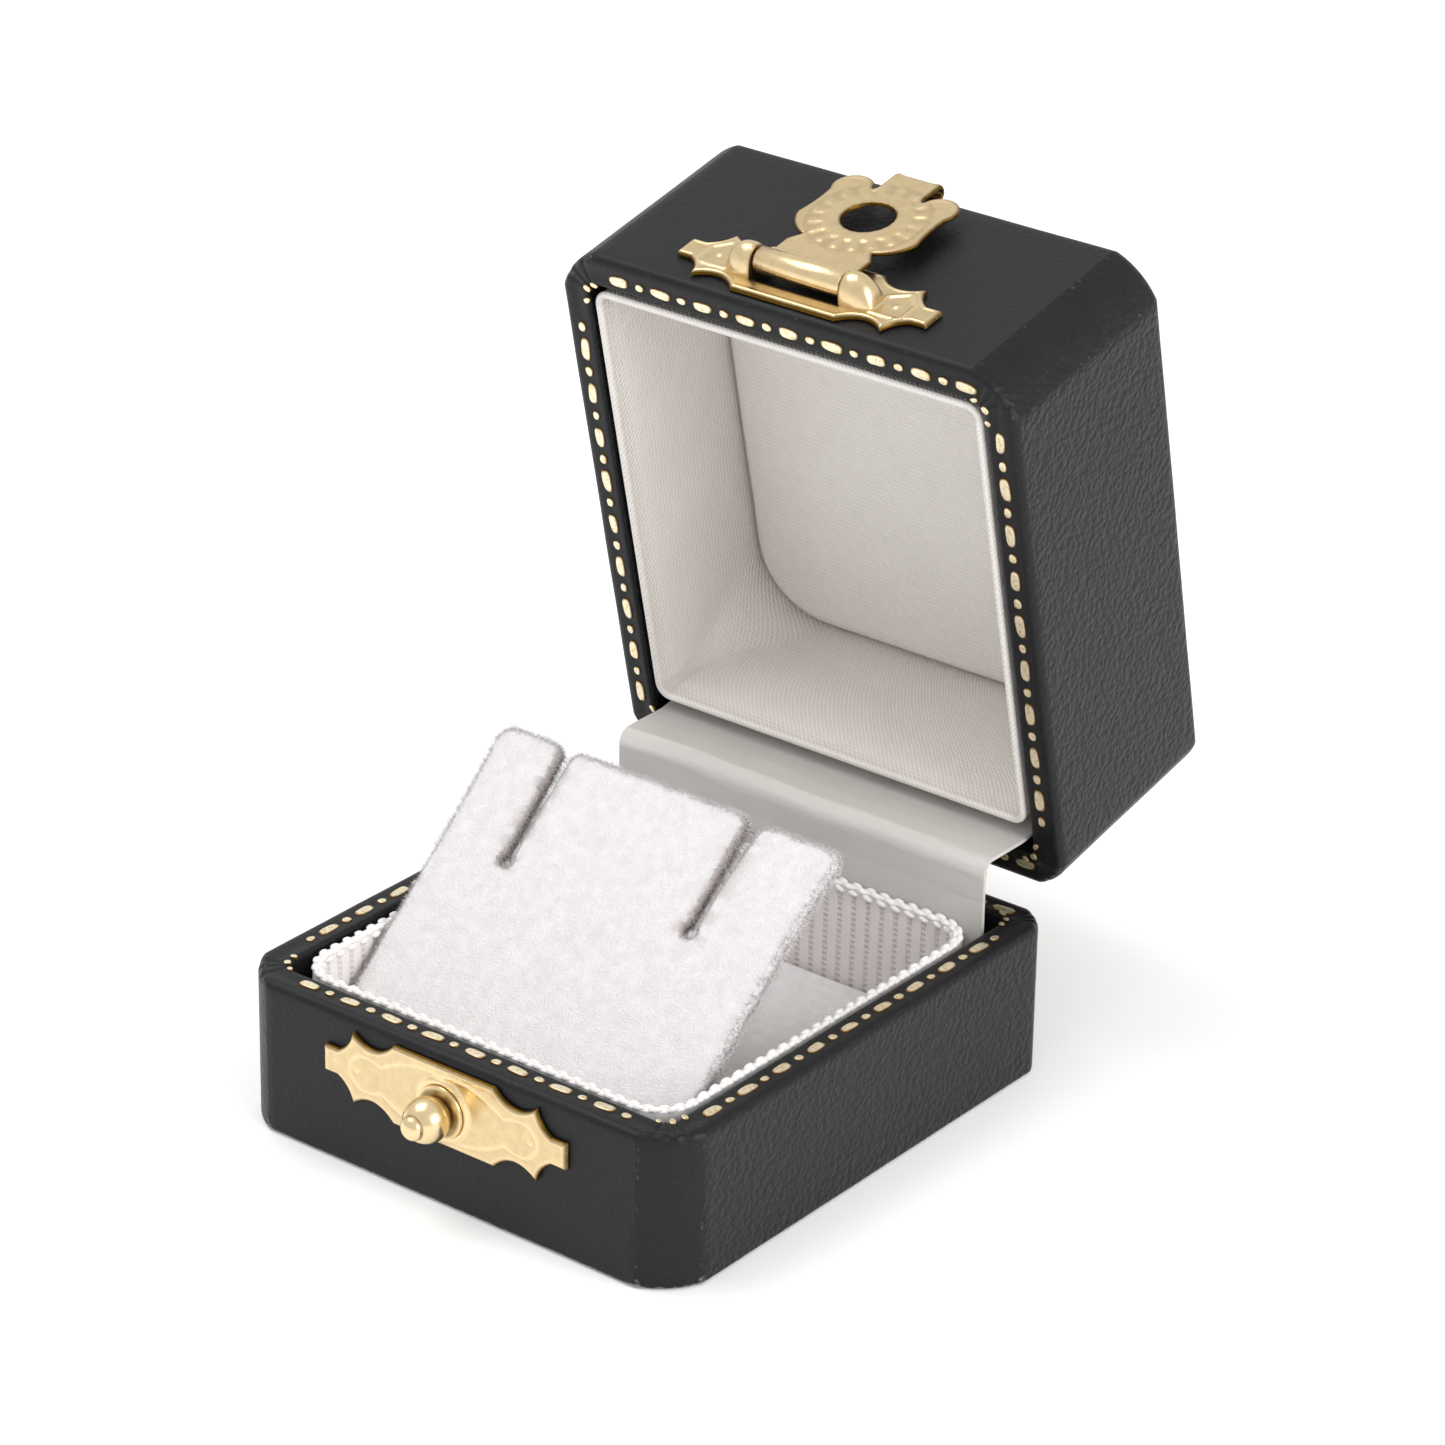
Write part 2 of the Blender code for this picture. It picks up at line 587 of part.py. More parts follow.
def thumb_tab():
    """The strip past the shield. Its end is rolled so that it stands out for a fingertip when it's latched."""
    start, sheet = leaf_reach() - 0.0012, LEAF_THICKNESS
    roll = TAB_CURL_RADIUS
    straight = leaf_reach() + 0.0012
    middle = [(0, start), (0, straight)]
    for step in range(1, 10):
        angle = math.radians(28 * step)
        middle.append((roll - roll * math.cos(angle), straight + roll * math.sin(angle)))
    outer, inner = [], []
    for i, (out, up) in enumerate(middle):
        before, after = middle[max(i - 1, 0)], middle[min(i + 1, len(middle) - 1)]
        along = Vector((after[0] - before[0], after[1] - before[1])).normalized()
        outer.append((out - along.y * sheet / 2, up + along.x * sheet / 2))
        inner.append((out + along.y * sheet / 2, up - along.x * sheet / 2))
    y, z = HASP_AXIS.y, HASP_AXIS.z
    return extrude(
        "thumb_tab",
        outer + inner[::-1],
        lambda out, up: (-TAB_HALF_WIDTH, y + out, z + up),
        lambda out, up: (TAB_HALF_WIDTH, y + out, z + up),
    )


def make_hinge(side, x, lid_axis):
    """A small brass hinge: two leaves, a pin, and a heel on the lid's leaf that stops it on the base's."""
    axis_y, axis_z = HINGE_AXIS.y, HINGE_AXIS.z
    near = BACK_FACE + FIT
    far = near + HINGE_LEAF_THICKNESS
    half, centre_half = HINGE_WIDTH / 2, CENTRE_KNUCKLE_WIDTH / 2
    bore = HINGE_PIN_RADIUS + HASP_PIN_CLEARANCE
    sweep = KNUCKLE_RADIUS + FIT
    outer_spans = [(x - half, x - centre_half - FIT), (x + centre_half + FIT, x + half)]
    centre_span = [(x - centre_half, x + centre_half)]
    leaves = (
        ("base", -1, BASE_HEIGHT, outer_spans, centre_span, None),
        ("lid", 1, LID_RIM, centre_span, outer_spans, lid_axis),
    )
    for half_name, way, edge, own_spans, other_spans, axis in leaves:
        start, end = sorted((edge, axis_z + way * HINGE_LEAF_LENGTH))
        plate = block("plate", (x - half, near, start), (x + half, far, end))
        leaf = add_object(f"{side}_hinge_{half_name}_leaf", plate, BRASS_LOOK, axis)
        for i, (low, high) in enumerate(other_spans):
            relief = cylinder_along_x(f"relief_{i}", sweep, low - 2 * FIT, high + 2 * FIT, axis_y, axis_z)
            combine(leaf, "DIFFERENCE", relief, axis)
        for i, (low, high) in enumerate(own_spans):
            knuckle = cylinder_along_x(f"knuckle_{i}", KNUCKLE_RADIUS, low, high, axis_y, axis_z)
            combine(leaf, "UNION", knuckle, axis)
        if axis:
            combine(leaf, "UNION", stop_heel(x, far), axis)
        bore_low, bore_high = x - half - THROUGH, x + half + THROUGH
        barrel_bore = cylinder_along_x("bore", bore, bore_low, bore_high, axis_y, axis_z)
        combine(leaf, "DIFFERENCE", barrel_bore, axis)
        nail_height = axis_z + way * NAIL_FROM_PIN
        for i, nail_x in enumerate((x - NAIL_SPACING / 2, x + NAIL_SPACING / 2)):
            nail_bore = NAIL_SHANK_RADIUS + FIT
            low, high = near - THROUGH, far + THROUGH
            hole = cylinder_along_y(f"hole_{i}", nail_bore, low, high, nail_x, nail_height)
            combine(leaf, "DIFFERENCE", hole, axis)
            make_nail(f"{side}_hinge_{half_name}_nail_{i + 1}", nail_x, nail_height, near, far, axis)
    pin = cylinder_along_x(f"{side}_hinge_pin", HINGE_PIN_RADIUS, x - half, x + half, axis_y, axis_z)
    add_object(f"{side}_hinge_pin", pin, BRASS_LOOK)


def stop_heel(x, leaf_face):
    """A lug on the lid's centre knuckle. With the lid open it hangs against the base leaf's face."""
    half = CENTRE_KNUCKLE_WIDTH / 2
    front = leaf_face + FIT - HINGE_AXIS.y
    heel = block("heel", (x - half, front, -HEEL_LENGTH), (x + half, front + KNUCKLE_RADIUS, 0))
    heel.transform(Matrix.Rotation(LID_OPEN_ANGLE, 4, "X"))
    heel.transform(Matrix.Translation(Vector((0, HINGE_AXIS.y, HINGE_AXIS.z))))
    return heel


def make_nail(name, x, z, near, far, axis):
    """A round-headed brass nail, whose shank ends just behind the leaf."""
    face = far + FIT
    head = NAIL_HEAD_RADIUS
    profile = [(NAIL_SHANK_RADIUS, near + FIT / 2), (NAIL_SHANK_RADIUS, face), (head, face)]
    profile += [(head * 0.8, face + NAIL_HEAD_HEIGHT * 0.7), (head * 0.3, face + NAIL_HEAD_HEIGHT)]
    loops = [[(a, out, b) for a, b in circle(x, z, radius, steps=12)] for radius, out in profile]
    add_object(name, skin_over(name, loops, False), BRASS_LOOK, axis)


clear_scene()
opened_lid = make_axis("lid_axis", HINGE_AXIS, -LID_OPEN_ANGLE)
board_floor = make_base()
floor_pad_top = make_tray(board_floor)
cushion_crown = make_lid(opened_lid)
make_hinge_ribbon()
make_earring_card(floor_pad_top, cushion_crown)
make_clasp()
make_hasp(opened_lid)
for hinge_side, hinge_x in (("left", -HINGE_SPACING / 2), ("right", HINGE_SPACING / 2)):
    make_hinge(hinge_side, hinge_x, opened_lid)
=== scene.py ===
"""A small leather-covered earring box, open: its finished surfaces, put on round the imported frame.

Lengths are in metres. The front of the box, with the clasp, faces -Y, and the box stands on z = 0. Pieces of
the lid are worked out as they sit on the closed box, and are then turned open about the hinges.
"""

import json

import bmesh
import bpy
import numpy as np
from mathutils import Matrix, Vector
from mathutils.geometry import delaunay_2d_cdt


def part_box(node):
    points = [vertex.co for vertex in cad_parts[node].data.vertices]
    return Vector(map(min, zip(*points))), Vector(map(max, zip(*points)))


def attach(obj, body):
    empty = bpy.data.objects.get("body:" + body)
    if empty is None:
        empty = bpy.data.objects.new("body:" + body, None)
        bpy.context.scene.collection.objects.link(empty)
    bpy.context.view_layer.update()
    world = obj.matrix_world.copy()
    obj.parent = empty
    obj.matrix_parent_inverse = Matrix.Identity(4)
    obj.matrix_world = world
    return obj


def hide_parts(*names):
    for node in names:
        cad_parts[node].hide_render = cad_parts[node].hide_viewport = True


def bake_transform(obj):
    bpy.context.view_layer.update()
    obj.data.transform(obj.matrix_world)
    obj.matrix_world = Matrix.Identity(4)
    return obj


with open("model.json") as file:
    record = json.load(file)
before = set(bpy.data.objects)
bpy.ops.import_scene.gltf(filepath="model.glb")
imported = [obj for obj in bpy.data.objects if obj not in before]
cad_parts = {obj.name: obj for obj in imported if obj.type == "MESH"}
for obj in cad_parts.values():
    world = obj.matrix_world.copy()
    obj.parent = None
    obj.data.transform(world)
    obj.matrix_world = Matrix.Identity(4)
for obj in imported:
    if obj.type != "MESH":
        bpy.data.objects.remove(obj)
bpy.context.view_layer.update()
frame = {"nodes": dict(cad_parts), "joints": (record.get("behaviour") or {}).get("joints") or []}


# ---------------------------------------------------------------------------------------------------------
# Board. Grey millboard, cut square and glued up into the walls, the floor and the top. It is wholly covered
# by leather and lining, and only its raw edge could ever be seen.


def joint_named(name):
    """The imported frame's joint of this name."""
    return next(joint for joint in frame["joints"] if joint["name"] == name)


hinge = joint_named("lid_hinge")
hinge_y, hinge_z = hinge["pos_m"][1:]
opening = np.radians(hinge["range_deg"][1])


def joined(*coordinates):
    """Points from their coordinates: arrays or numbers, each spread over the others' shape."""
    return np.stack(np.broadcast_arrays(*coordinates), axis=-1)


def turned(points, angle):
    """Points turned about the lid's hinge line: y' = y cos a - z sin a and z' = y sin a + z cos a from it."""
    y, z = points[..., 1] - hinge_y, points[..., 2] - hinge_z
    cos, sin = np.cos(angle), np.sin(angle)
    return joined(points[..., 0], hinge_y + y * cos - z * sin, hinge_z + y * sin + z * cos)


def closed_box(name):
    """A lid piece's lowest and highest corner with the lid shut."""
    vertices = frame["nodes"][name].data.vertices
    points = np.empty(len(vertices) * 3)
    vertices.foreach_get("co", points)
    points = turned(points.reshape(-1, 3), opening)
    return points.min(axis=0), points.max(axis=0)


def linear(code):
    """sRGB hex to linear colour: c / 12.92 up to 0.04045, and ((c + 0.055) / 1.055) ** 2.4 above it."""
    srgb = np.array([int(code[i : i + 2], 16) for i in (1, 3, 5)]) / 255
    return (*np.where(srgb <= 0.04045, srgb / 12.92, ((srgb + 0.055) / 1.055) ** 2.4), 1.0)


def node(material, kind, inputs=None, **settings):
    """Adds one shader node. settings are its options, and inputs are its sockets' values or what feeds them.

    A node among the inputs feeds its first output.
    """
    added = material.node_tree.nodes.new("ShaderNode" + kind)
    for key, value in settings.items():
        setattr(added, key, value)
    for key, value in (inputs or {}).items():
        if isinstance(value, bpy.types.Node):
            value = value.outputs[0]
        if isinstance(value, bpy.types.NodeSocket):
            material.node_tree.links.new(value, added.inputs[key])
        else:
            added.inputs[key].default_value = value
    return added


def new_material(name):
    """A material with an empty node tree."""
    material = bpy.data.materials.new(name)
    material.use_nodes = True
    material.node_tree.nodes.clear()
    return material


def finish_material(material, **inputs):
    """Ends a material in a Principled shader with these sockets, whose names are written with underscores."""
    sockets = {key.replace("_", " "): value for key, value in inputs.items()}
    shader = node(material, "BsdfPrincipled", sockets)
    node(material, "OutputMaterial", {"Surface": shader})
    return material


def grey_millboard():
    """Grey millboard: matt pulp with darker and lighter fibres in it about 0.6 mm long."""
    fibre_length = 0.0006
    material = new_material("grey millboard")
    place = node(material, "TexCoord").outputs["Object"]
    fibres = node(material, "TexNoise", {"Vector": place, "Scale": 1 / fibre_length, "Detail": 6.0})
    colour = node(material, "Mix",
        {"Factor": fibres, "A": linear("#9a958c"), "B": linear("#c2bcb1")}, data_type="RGBA")
    bump = node(material, "Bump", {"Height": fibres, "Strength": 0.3, "Distance": 0.0001})
    return finish_material(material, Base_Color=colour.outputs["Result"], Roughness=0.9,
        Normal=bump)


def coated(names, material):
    """Gives this material to parts of the frame that keep their own shape."""
    for name in names:
        frame["nodes"][name].data.materials.clear()
        frame["nodes"][name].data.materials.append(material)


boards = ("base_wall_boards", "base_floor_board", "lid_wall_boards", "lid_top_board", "lid_cushion_card")
coated(boards, grey_millboard())


# ---------------------------------------------------------------------------------------------------------
# Leather covers. Thin black goatskin, pared and glued over the board, turned over the rims and down inside
# the walls. It is plated smooth on the front and keeps its pebble grain on the sides, with small pleats where
# it goes round the rims' corners, and its edges are worn a little paler. A thin painted highlight runs down
# the bends of the front corners.

leather_thickness = 0.0005
wall_thickness = 0.0032
corner_radius_front, corner_radius_back = 0.0042, 0.0030
rim_round_outer, rim_round_inner = 0.0008, 0.0004
foot_round = 0.0004
top_round = 0.0012
rim_fold = 0.0050
bottom_margin = 0.0045
corner_flatness = 0.52
tooling_inset = 0.0019
groove_depth, groove_width = 0.00006, 0.0006


def corner_rows(sides, radii):
    """For each corner: its side, its end, the way inwards from the end, its radius and its first angle."""
    front, back = sides[1:]
    near, far = radii
    return (1, front, 1, near, -90), (1, back, -1, far, 0), (-1, back, -1, far, 90), (-1, front, 1, near, 180)


def round_rectangle(sides, radii, inset, arc=8, straight=40, flatness=0.0):
    """A rectangle's outline seen from above, moved in by inset, with a row of points for each inset.

    Each corner is a quarter circle about its centre, drawn towards its own chord by the share flatness. The
    sides between are straight, and the last point is the first again.
    """
    half_width = sides[0]
    inset = np.atleast_1d(np.asarray(inset, float))[:, None]
    arcs = []
    for across, end, along, radius, start in corner_rows(sides, radii):
        bend = np.maximum(radius - inset, np.clip(half_width - inset, 0, 0.0002))
        centre = joined(across * (half_width - inset - bend), end + along * (inset + bend))
        angle = np.radians(start + np.linspace(0, 90, arc + 1))[None, :]
        points = centre + joined(bend * np.cos(angle), bend * np.sin(angle))
        chord = points[:, :1] + (points[:, -1:] - points[:, :1]) * np.linspace(0, 1, arc + 1)[None, :, None]
        arcs.append(points + (chord - points) * flatness)
    runs = []
    for i, points in enumerate(arcs):
        following = arcs[(i + 1) % 4][:, :1]
        share = np.linspace(0, 1, straight + 1)[None, 1:-1, None]
        runs += [points, points[:, -1:] + (following - points[:, -1:]) * share]
    return np.concatenate([*runs, arcs[0][:, :1]], axis=1)


def carried(profile, sides, radii, **steps):
    """A grid: each (inset, height) of a profile is carried once round the rectangle at its inset."""
    profile = np.asarray(profile, float)
    outline = round_rectangle(sides, radii, profile[:, 0], **steps)
    height = np.broadcast_to(profile[:, 1, None, None], (*outline.shape[:2], 1))
    return np.concatenate([outline, height], axis=-1)


def arc_about(x, y, radius, start, end, steps=6):
    """Points of an arc about (x, y), from one angle in degrees to another: 0 is along x and 90 along y."""
    angle = np.radians(np.linspace(start, end, steps + 1))
    return joined(x + radius * np.cos(angle), y + radius * np.sin(angle))


def line(start, end, steps):
    """Points on a straight line, without its two ends."""
    share = np.linspace(0, 1, steps + 1)[1:-1, None]
    return np.array(start) + (np.array(end) - np.array(start)) * share


def normals_of(grid):
    """Unit normals of a grid, as the cross product of its two directions. They point out of the covers."""
    along, across = np.gradient(grid, axis=0), np.gradient(grid, axis=1)
    normal = np.cross(across, along)
    return normal / np.maximum(np.linalg.norm(normal, axis=-1, keepdims=True), 1e-12)


def grid_faces(rows, columns, first=0):
    """Corner numbers of the quads between a grid's neighbouring points."""
    i, j = np.meshgrid(np.arange(rows - 1), np.arange(columns - 1), indexing="ij")
    corner = first + i * columns + j
    return joined(corner, corner + 1, corner + columns + 1, corner + columns).reshape(-1, 4)


def make_piece(name, points, faces, uv=None, sharp=40, **values):
    """A mesh in one new object, with a float attribute for each of values.

    faces is an array with a row of corner numbers for each face, or a list of such arrays. Points in the same
    place become one, which closes seams and poles, and the faces are then turned to point outwards. uv, in
    metres, gives each point its place on the flat material.
    """
    groups = faces if isinstance(faces, list) else [faces]
    corners = np.concatenate([group.ravel() for group in groups])
    sizes = np.concatenate([np.full(len(group), group.shape[1]) for group in groups])
    mesh = bpy.data.meshes.new(name)
    mesh.vertices.add(len(points))
    mesh.vertices.foreach_set("co", np.ascontiguousarray(points, np.float32).ravel())
    mesh.loops.add(len(corners))
    mesh.loops.foreach_set("vertex_index", corners.astype(np.int32))
    mesh.polygons.add(len(sizes))
    mesh.polygons.foreach_set("loop_start", (np.cumsum(sizes) - sizes).astype(np.int32))
    mesh.update(calc_edges=True)
    for key, value in values.items():
        attribute = mesh.attributes.new(key, "FLOAT", "POINT")
        attribute.data.foreach_set("value", np.ascontiguousarray(value, np.float32).ravel())
    if uv is not None:
        layer = mesh.uv_layers.new(name="cloth")
        layer.data.foreach_set("uv", np.ascontiguousarray(uv[corners], np.float32).ravel())
    welded = bmesh.new()
    welded.from_mesh(mesh)
    bmesh.ops.remove_doubles(welded, verts=welded.verts, dist=2e-7)
    bmesh.ops.recalc_face_normals(welded, faces=welded.faces)
    welded.to_mesh(mesh)
    welded.free()
    mesh.shade_smooth()
    mesh.set_sharp_from_angle(angle=np.radians(sharp))
    piece = bpy.data.objects.new(name, mesh)
    bpy.context.scene.collection.objects.link(piece)
    return piece


def grid_piece(name, grid, uv=None, sharp=40, **values):
    """A piece made of one grid of points, as make_piece makes it."""
    points = grid.reshape(-1, 3)
    flat = None if uv is None else uv.reshape(-1, 2)
    return make_piece(name, points, grid_faces(*grid.shape[:2]), flat, sharp, **values)


def fitted(piece, material, body, slot, *replaced):
    """Gives a piece its material and the body it moves with, and hides the frame's nodes it stands for.

    slot is not used.
    """
    piece.data.materials.append(material)
    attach(piece, body)
    if replaced:
        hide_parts(*replaced)


def black_goatskin():
    """Glazed black goatskin: a satin gloss over pebbles about 0.5 mm across, with finer creases between.

    The grain attribute says how much of the pebble is left after plating. The other attribute says where the
    leather turns a warm grey: where the dye is worn thin on the edges, and in a painted highlight down the
    bends of the front corners.
    """
    pebble, crease, patch = 0.00055, 0.00016, 0.004
    material = new_material("black goatskin")
    place = node(material, "TexCoord").outputs["Object"]
    grain = node(material, "Attribute", attribute_name="grain").outputs["Fac"]
    wear = node(material, "Attribute", attribute_name="wear").outputs["Fac"]
    warp = node(material, "TexNoise", {"Vector": place, "Scale": 1 / (3 * pebble), "Detail": 2.0})
    moved = node(material, "VectorMath",
        {0: warp.outputs["Color"], 1: (pebble, pebble, pebble), 2: place}, operation="MULTIPLY_ADD")
    pebbles = node(material, "TexVoronoi",
        {"Vector": moved, "Scale": 1 / pebble, "Smoothness": 0.6}, feature="SMOOTH_F1")
    creases = node(material, "TexNoise", {"Vector": place, "Scale": 1 / crease, "Detail": 3.0})
    domes = node(material, "Math", {0: 0.7, 1: pebbles.outputs["Distance"]}, operation="SUBTRACT")
    domes = node(material, "Math", {0: domes, 1: grain}, operation="MULTIPLY")
    relief = node(material, "Math", {0: creases, 1: 0.16, 2: domes},
        operation="MULTIPLY_ADD")
    bump = node(material, "Bump", {"Height": relief, "Strength": 0.9, "Distance": 0.00016})
    patches = node(material, "TexNoise", {"Vector": place, "Scale": 1 / patch, "Detail": 4.0})
    dye = node(material, "Mix", {"Factor": patches, "A": linear("#0f1012"),
        "B": linear("#1a1b1d")}, data_type="RGBA")
    speckle = node(material, "TexNoise", {"Vector": place, "Scale": 1 / 0.0005, "Detail": 5.0})
    # This mask makes the leather paler: dye worn thin on the edges, and a painted highlight down the bends of
    # the front corners.
    worn_and_highlit = node(material, "Math", {0: wear, 1: speckle}, operation="MULTIPLY")
    worn_and_highlit = node(material, "MapRange",
        {"Value": worn_and_highlit, "From Min": 0.38, "From Max": 0.62, "To Max": 0.7})
    colour = node(material, "Mix",
        {"Factor": worn_and_highlit, "A": dye.outputs["Result"], "B": linear("#8d8a86")}, data_type="RGBA")
    gloss = node(material, "MapRange",
        {"Value": patches, "To Min": 0.36, "To Max": 0.48})
    return finish_material(material, Base_Color=colour.outputs["Result"], Roughness=gloss, IOR=1.5,
        Specular_IOR_Level=0.26, Normal=bump)


def ripples(points, size, seed):
    """Gentle unevenness from -1 to 1: five sine waves about size long, in directions drawn by seed."""
    draw = np.random.default_rng(seed)
    directions = draw.normal(size=(5, 3))
    directions /= np.linalg.norm(directions, axis=1, keepdims=True)
    phases = draw.uniform(0, 2 * np.pi, 5)
    lengths = size * draw.uniform(0.6, 1.6, 5)
    return np.sin(points @ directions.T * (2 * np.pi / lengths) + phases).mean(axis=-1)


def pleats(grid, sides, radii, rim_height):
    """How far the rim sinks at its corners: three narrow folds at each, fading to the straight sides."""
    sunk = np.zeros(grid.shape[:2])
    for across, end, along, radius, _ in corner_rows(sides, radii):
        x = (grid[..., 0] - across * (sides[0] - radius)) * across
        y = -(grid[..., 1] - (end + along * radius)) * along
        angle = np.degrees(np.arctan2(y, x))
        on_corner = (x > 0) & (y > 0) & (np.abs(grid[..., 2] - rim_height) < rim_round_outer)
        folds = sum(np.exp(-(((angle - fold) / 5.0) ** 2)) for fold in (24, 46, 69))
        sunk += np.where(on_corner, folds, 0.0)
    return sunk


def finished_cover(grid, sides, radii, rim_height, way, seed):
    """The cover's grid with the hand-made unevenness, its grain attribute, and an attribute for paler
    leather:
    dye worn thin along the rims' outer edges, and a painted highlight down the bends of the front corners.

    way is 1 where the profile runs up the outside of the cover, and -1 where it runs down it.
    """
    normal = way * normals_of(grid)
    lift = 0.00003 * ripples(grid, 0.012, seed) - 0.00010 * pleats(grid, sides, radii, rim_height)
    from_rim = np.abs(grid[..., 2] - rim_height)
    from_ends = np.minimum(grid[..., 1] - sides[1], sides[2] - grid[..., 1])
    inset = np.minimum(sides[0] - np.abs(grid[..., 0]), from_ends)
    on_rim = from_rim < 0.0001
    lift -= np.where(on_rim, groove_depth * np.exp(-(((inset - tooling_inset) / groove_width) ** 2)), 0)
    lift *= np.clip((sides[0] - inset) / 0.005, 0, 1)
    side = np.abs(normal[..., 0]) ** 2
    grain = 0.16 + 0.84 * side
    edge = 0.75 * np.exp(-((from_rim / 0.0005) ** 2)) * np.exp(-(((inset - 0.0002) / 0.0004) ** 2))
    # The bends where each front corner's flat facet meets the front and the side get a thin painted
    # highlight, on the front corners only.
    corner = (np.abs(grid[..., 0]) - (sides[0] - radii[0])) + np.abs(grid[..., 1] - sides[1] - radii[0])
    in_front = grid[..., 1] < sides[1] + 2 * radii[0]
    bends = in_front * np.exp(-(((np.abs(corner - 0.0042) - 0.0001) / 0.00022) ** 2))
    return grid + normal * lift[..., None], grain, np.maximum(edge, 0.7 * bends * (inset < 0.0022))


goatskin = black_goatskin()
base_low, base_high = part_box("base_leather_cover")
sides = (base_high.x, base_low.y, base_high.y)
radii = (corner_radius_front, corner_radius_back)
cover_steps = {"arc": 22, "straight": 50, "flatness": corner_flatness}
low, rim = base_low.z, base_high.z
inside = wall_thickness - leather_thickness
fold = rim - rim_fold
profile = np.concatenate([[(bottom_margin, low)],
    arc_about(foot_round, low + foot_round, foot_round, 270, 180),
    line((0, low + foot_round), (0, rim - rim_round_outer), 14),
    arc_about(rim_round_outer, rim - rim_round_outer, rim_round_outer, 180, 90),
    line((rim_round_outer, rim), (wall_thickness - rim_round_inner, rim), 12),
    arc_about(wall_thickness - rim_round_inner, rim - rim_round_inner, rim_round_inner, 90, 0),
    [(wall_thickness, fold), (inside, fold), (inside, rim - leather_thickness)],
    [(leather_thickness, rim - leather_thickness), (leather_thickness, low + leather_thickness)],
    [(bottom_margin, low + leather_thickness), (bottom_margin, low)]])
grid = carried(profile, sides, radii, **cover_steps)
grid, grain, wear = finished_cover(grid, sides, radii, rim, 1, seed=3)
wear = wear + 0.95 * np.exp(-(((grid[..., 2] - low - 0.00022) / 0.00018) ** 2))
base_cover = grid_piece("base_leather", grid, grain=grain, wear=wear)
fitted(base_cover, goatskin, "base", "black_leather", "base_leather_cover")

lid_low, lid_high = closed_box("lid_leather_cover")
rim, top = lid_low[2], lid_high[2]
fold = rim + rim_fold
under = top - leather_thickness
middle = sides[0]
profile = np.concatenate([[(middle, top)], line((middle, top), (top_round, top), 16),
    arc_about(top_round, top - top_round, top_round, 90, 180),
    line((0, top - top_round), (0, rim + rim_round_outer), 20),
    arc_about(rim_round_outer, rim + rim_round_outer, rim_round_outer, 180, 270),
    line((rim_round_outer, rim), (wall_thickness - rim_round_inner, rim), 12),
    arc_about(wall_thickness - rim_round_inner, rim + rim_round_inner, rim_round_inner, 270, 360),
    [(wall_thickness, fold), (inside, fold), (inside, rim + leather_thickness)],
    [(leather_thickness, rim + leather_thickness), (leather_thickness, top - top_round)],
    arc_about(top_round, top - top_round, top_round - leather_thickness, 180, 90),
    line((top_round, under), (middle, under), 12), [(middle, under)]])
grid = carried(profile, sides, radii, **cover_steps)
grid, grain, wear = finished_cover(grid, sides, radii, rim, -1, seed=5)
lid_cover = grid_piece("lid_leather", turned(grid, -opening), grain=grain, wear=wear)
fitted(lid_cover, goatskin, "lid", "black_leather", "lid_leather_cover")


# ---------------------------------------------------------------------------------------------------------
# Gold tooling. Pale gold foil, pressed into the leather of both rims with a hot wheel that prints a dash and
# a dot in turn. The wheel ran along each side by itself, so its lines cross and crowd at the corners.

dash_pitch = 0.00476
dash_size = (0.00225, 0.00100)
dot_size = (0.00100, 0.00078)
foil_height = 0.00010
foil_seat, foil_root = 0.00002, 0.0002


def foil_marks(lines, corners, height, up, seed):
    """Points and faces of the foil of one rim: a low dome for each dash and dot.

    A mark is a flat rounded block: round it goes |x/a|^n + |y/b|^n = 1 with n about 3 for a dash and 2 for a
    dot, and its height falls to the edge as the root of 1 - r^6. Sizes and turns vary a little from print to
    print. At each corner a few odd marks are crowded together.
    """
    draw = np.random.default_rng(seed)
    marks = []
    for start, direction, first, count in lines:
        for step in range(count):
            is_dash = step % 2 == 0
            place = np.array(start) + np.array(direction) * (first + step * dash_pitch / 2)
            size = np.array(dash_size if is_dash else dot_size) * draw.uniform(0.90, 1.08, 2)
            marks.append((place, direction, size, 3.2 if is_dash else 2.2, draw.uniform(-5, 5)))
    for corner in corners:
        inward = -np.sign(corner)
        for back in ((0.0014, 0.0002), (0.0004, 0.0009), (0.0002, 0.0021)):
            place = np.array(corner) + inward * (np.array(back) + draw.uniform(0.0, 0.0002, 2))
            size = np.array(dot_size) * draw.uniform(0.6, 0.9, 2)
            marks.append((place, (1, 0), size, 2.6, draw.uniform(-60, 60)))
    rings, spokes = np.array([0.0, 0.45, 0.70, 0.82, 0.93, 1.0]), 20
    angle = np.linspace(0, 2 * np.pi, spokes + 1)
    points, faces, edges = [], [], []
    for place, direction, size, power, twist in marks:
        cos, sin = np.cos(angle), np.sin(angle)
        reach = (np.abs(cos) ** power + np.abs(sin) ** power) ** (-1 / power)
        reach = reach * (1 + 0.035 * np.sin(3 * angle + draw.uniform(0, 6)))
        turn = np.arctan2(direction[1], direction[0]) + np.radians(twist)
        across = rings[:, None] * reach * cos * size[0] / 2
        along = rings[:, None] * reach * sin * size[1] / 2
        x = place[0] + across * np.cos(turn) - along * np.sin(turn)
        y = place[1] + across * np.sin(turn) + along * np.cos(turn)
        dome = foil_height * np.sqrt(1 - 0.98 * rings**6)[:, None] + 0 * x
        z = height + up * (dome - foil_seat)
        skirt = joined(x[-1], y[-1], np.full(spokes + 1, height - up * foil_root))[None]
        centre = np.broadcast_to([place[0], place[1], height - up * foil_root], skirt.shape)
        grid = np.concatenate([joined(x, y, z), skirt, centre])
        faces.append(grid_faces(*grid.shape[:2], first=sum(len(p) for p in points)))
        points.append(grid.reshape(-1, 3))
        edges.append(np.broadcast_to(np.append(rings, [1, 1])[:, None], grid.shape[:2]).ravel())
    return np.concatenate(points), np.concatenate(faces), np.concatenate(edges)


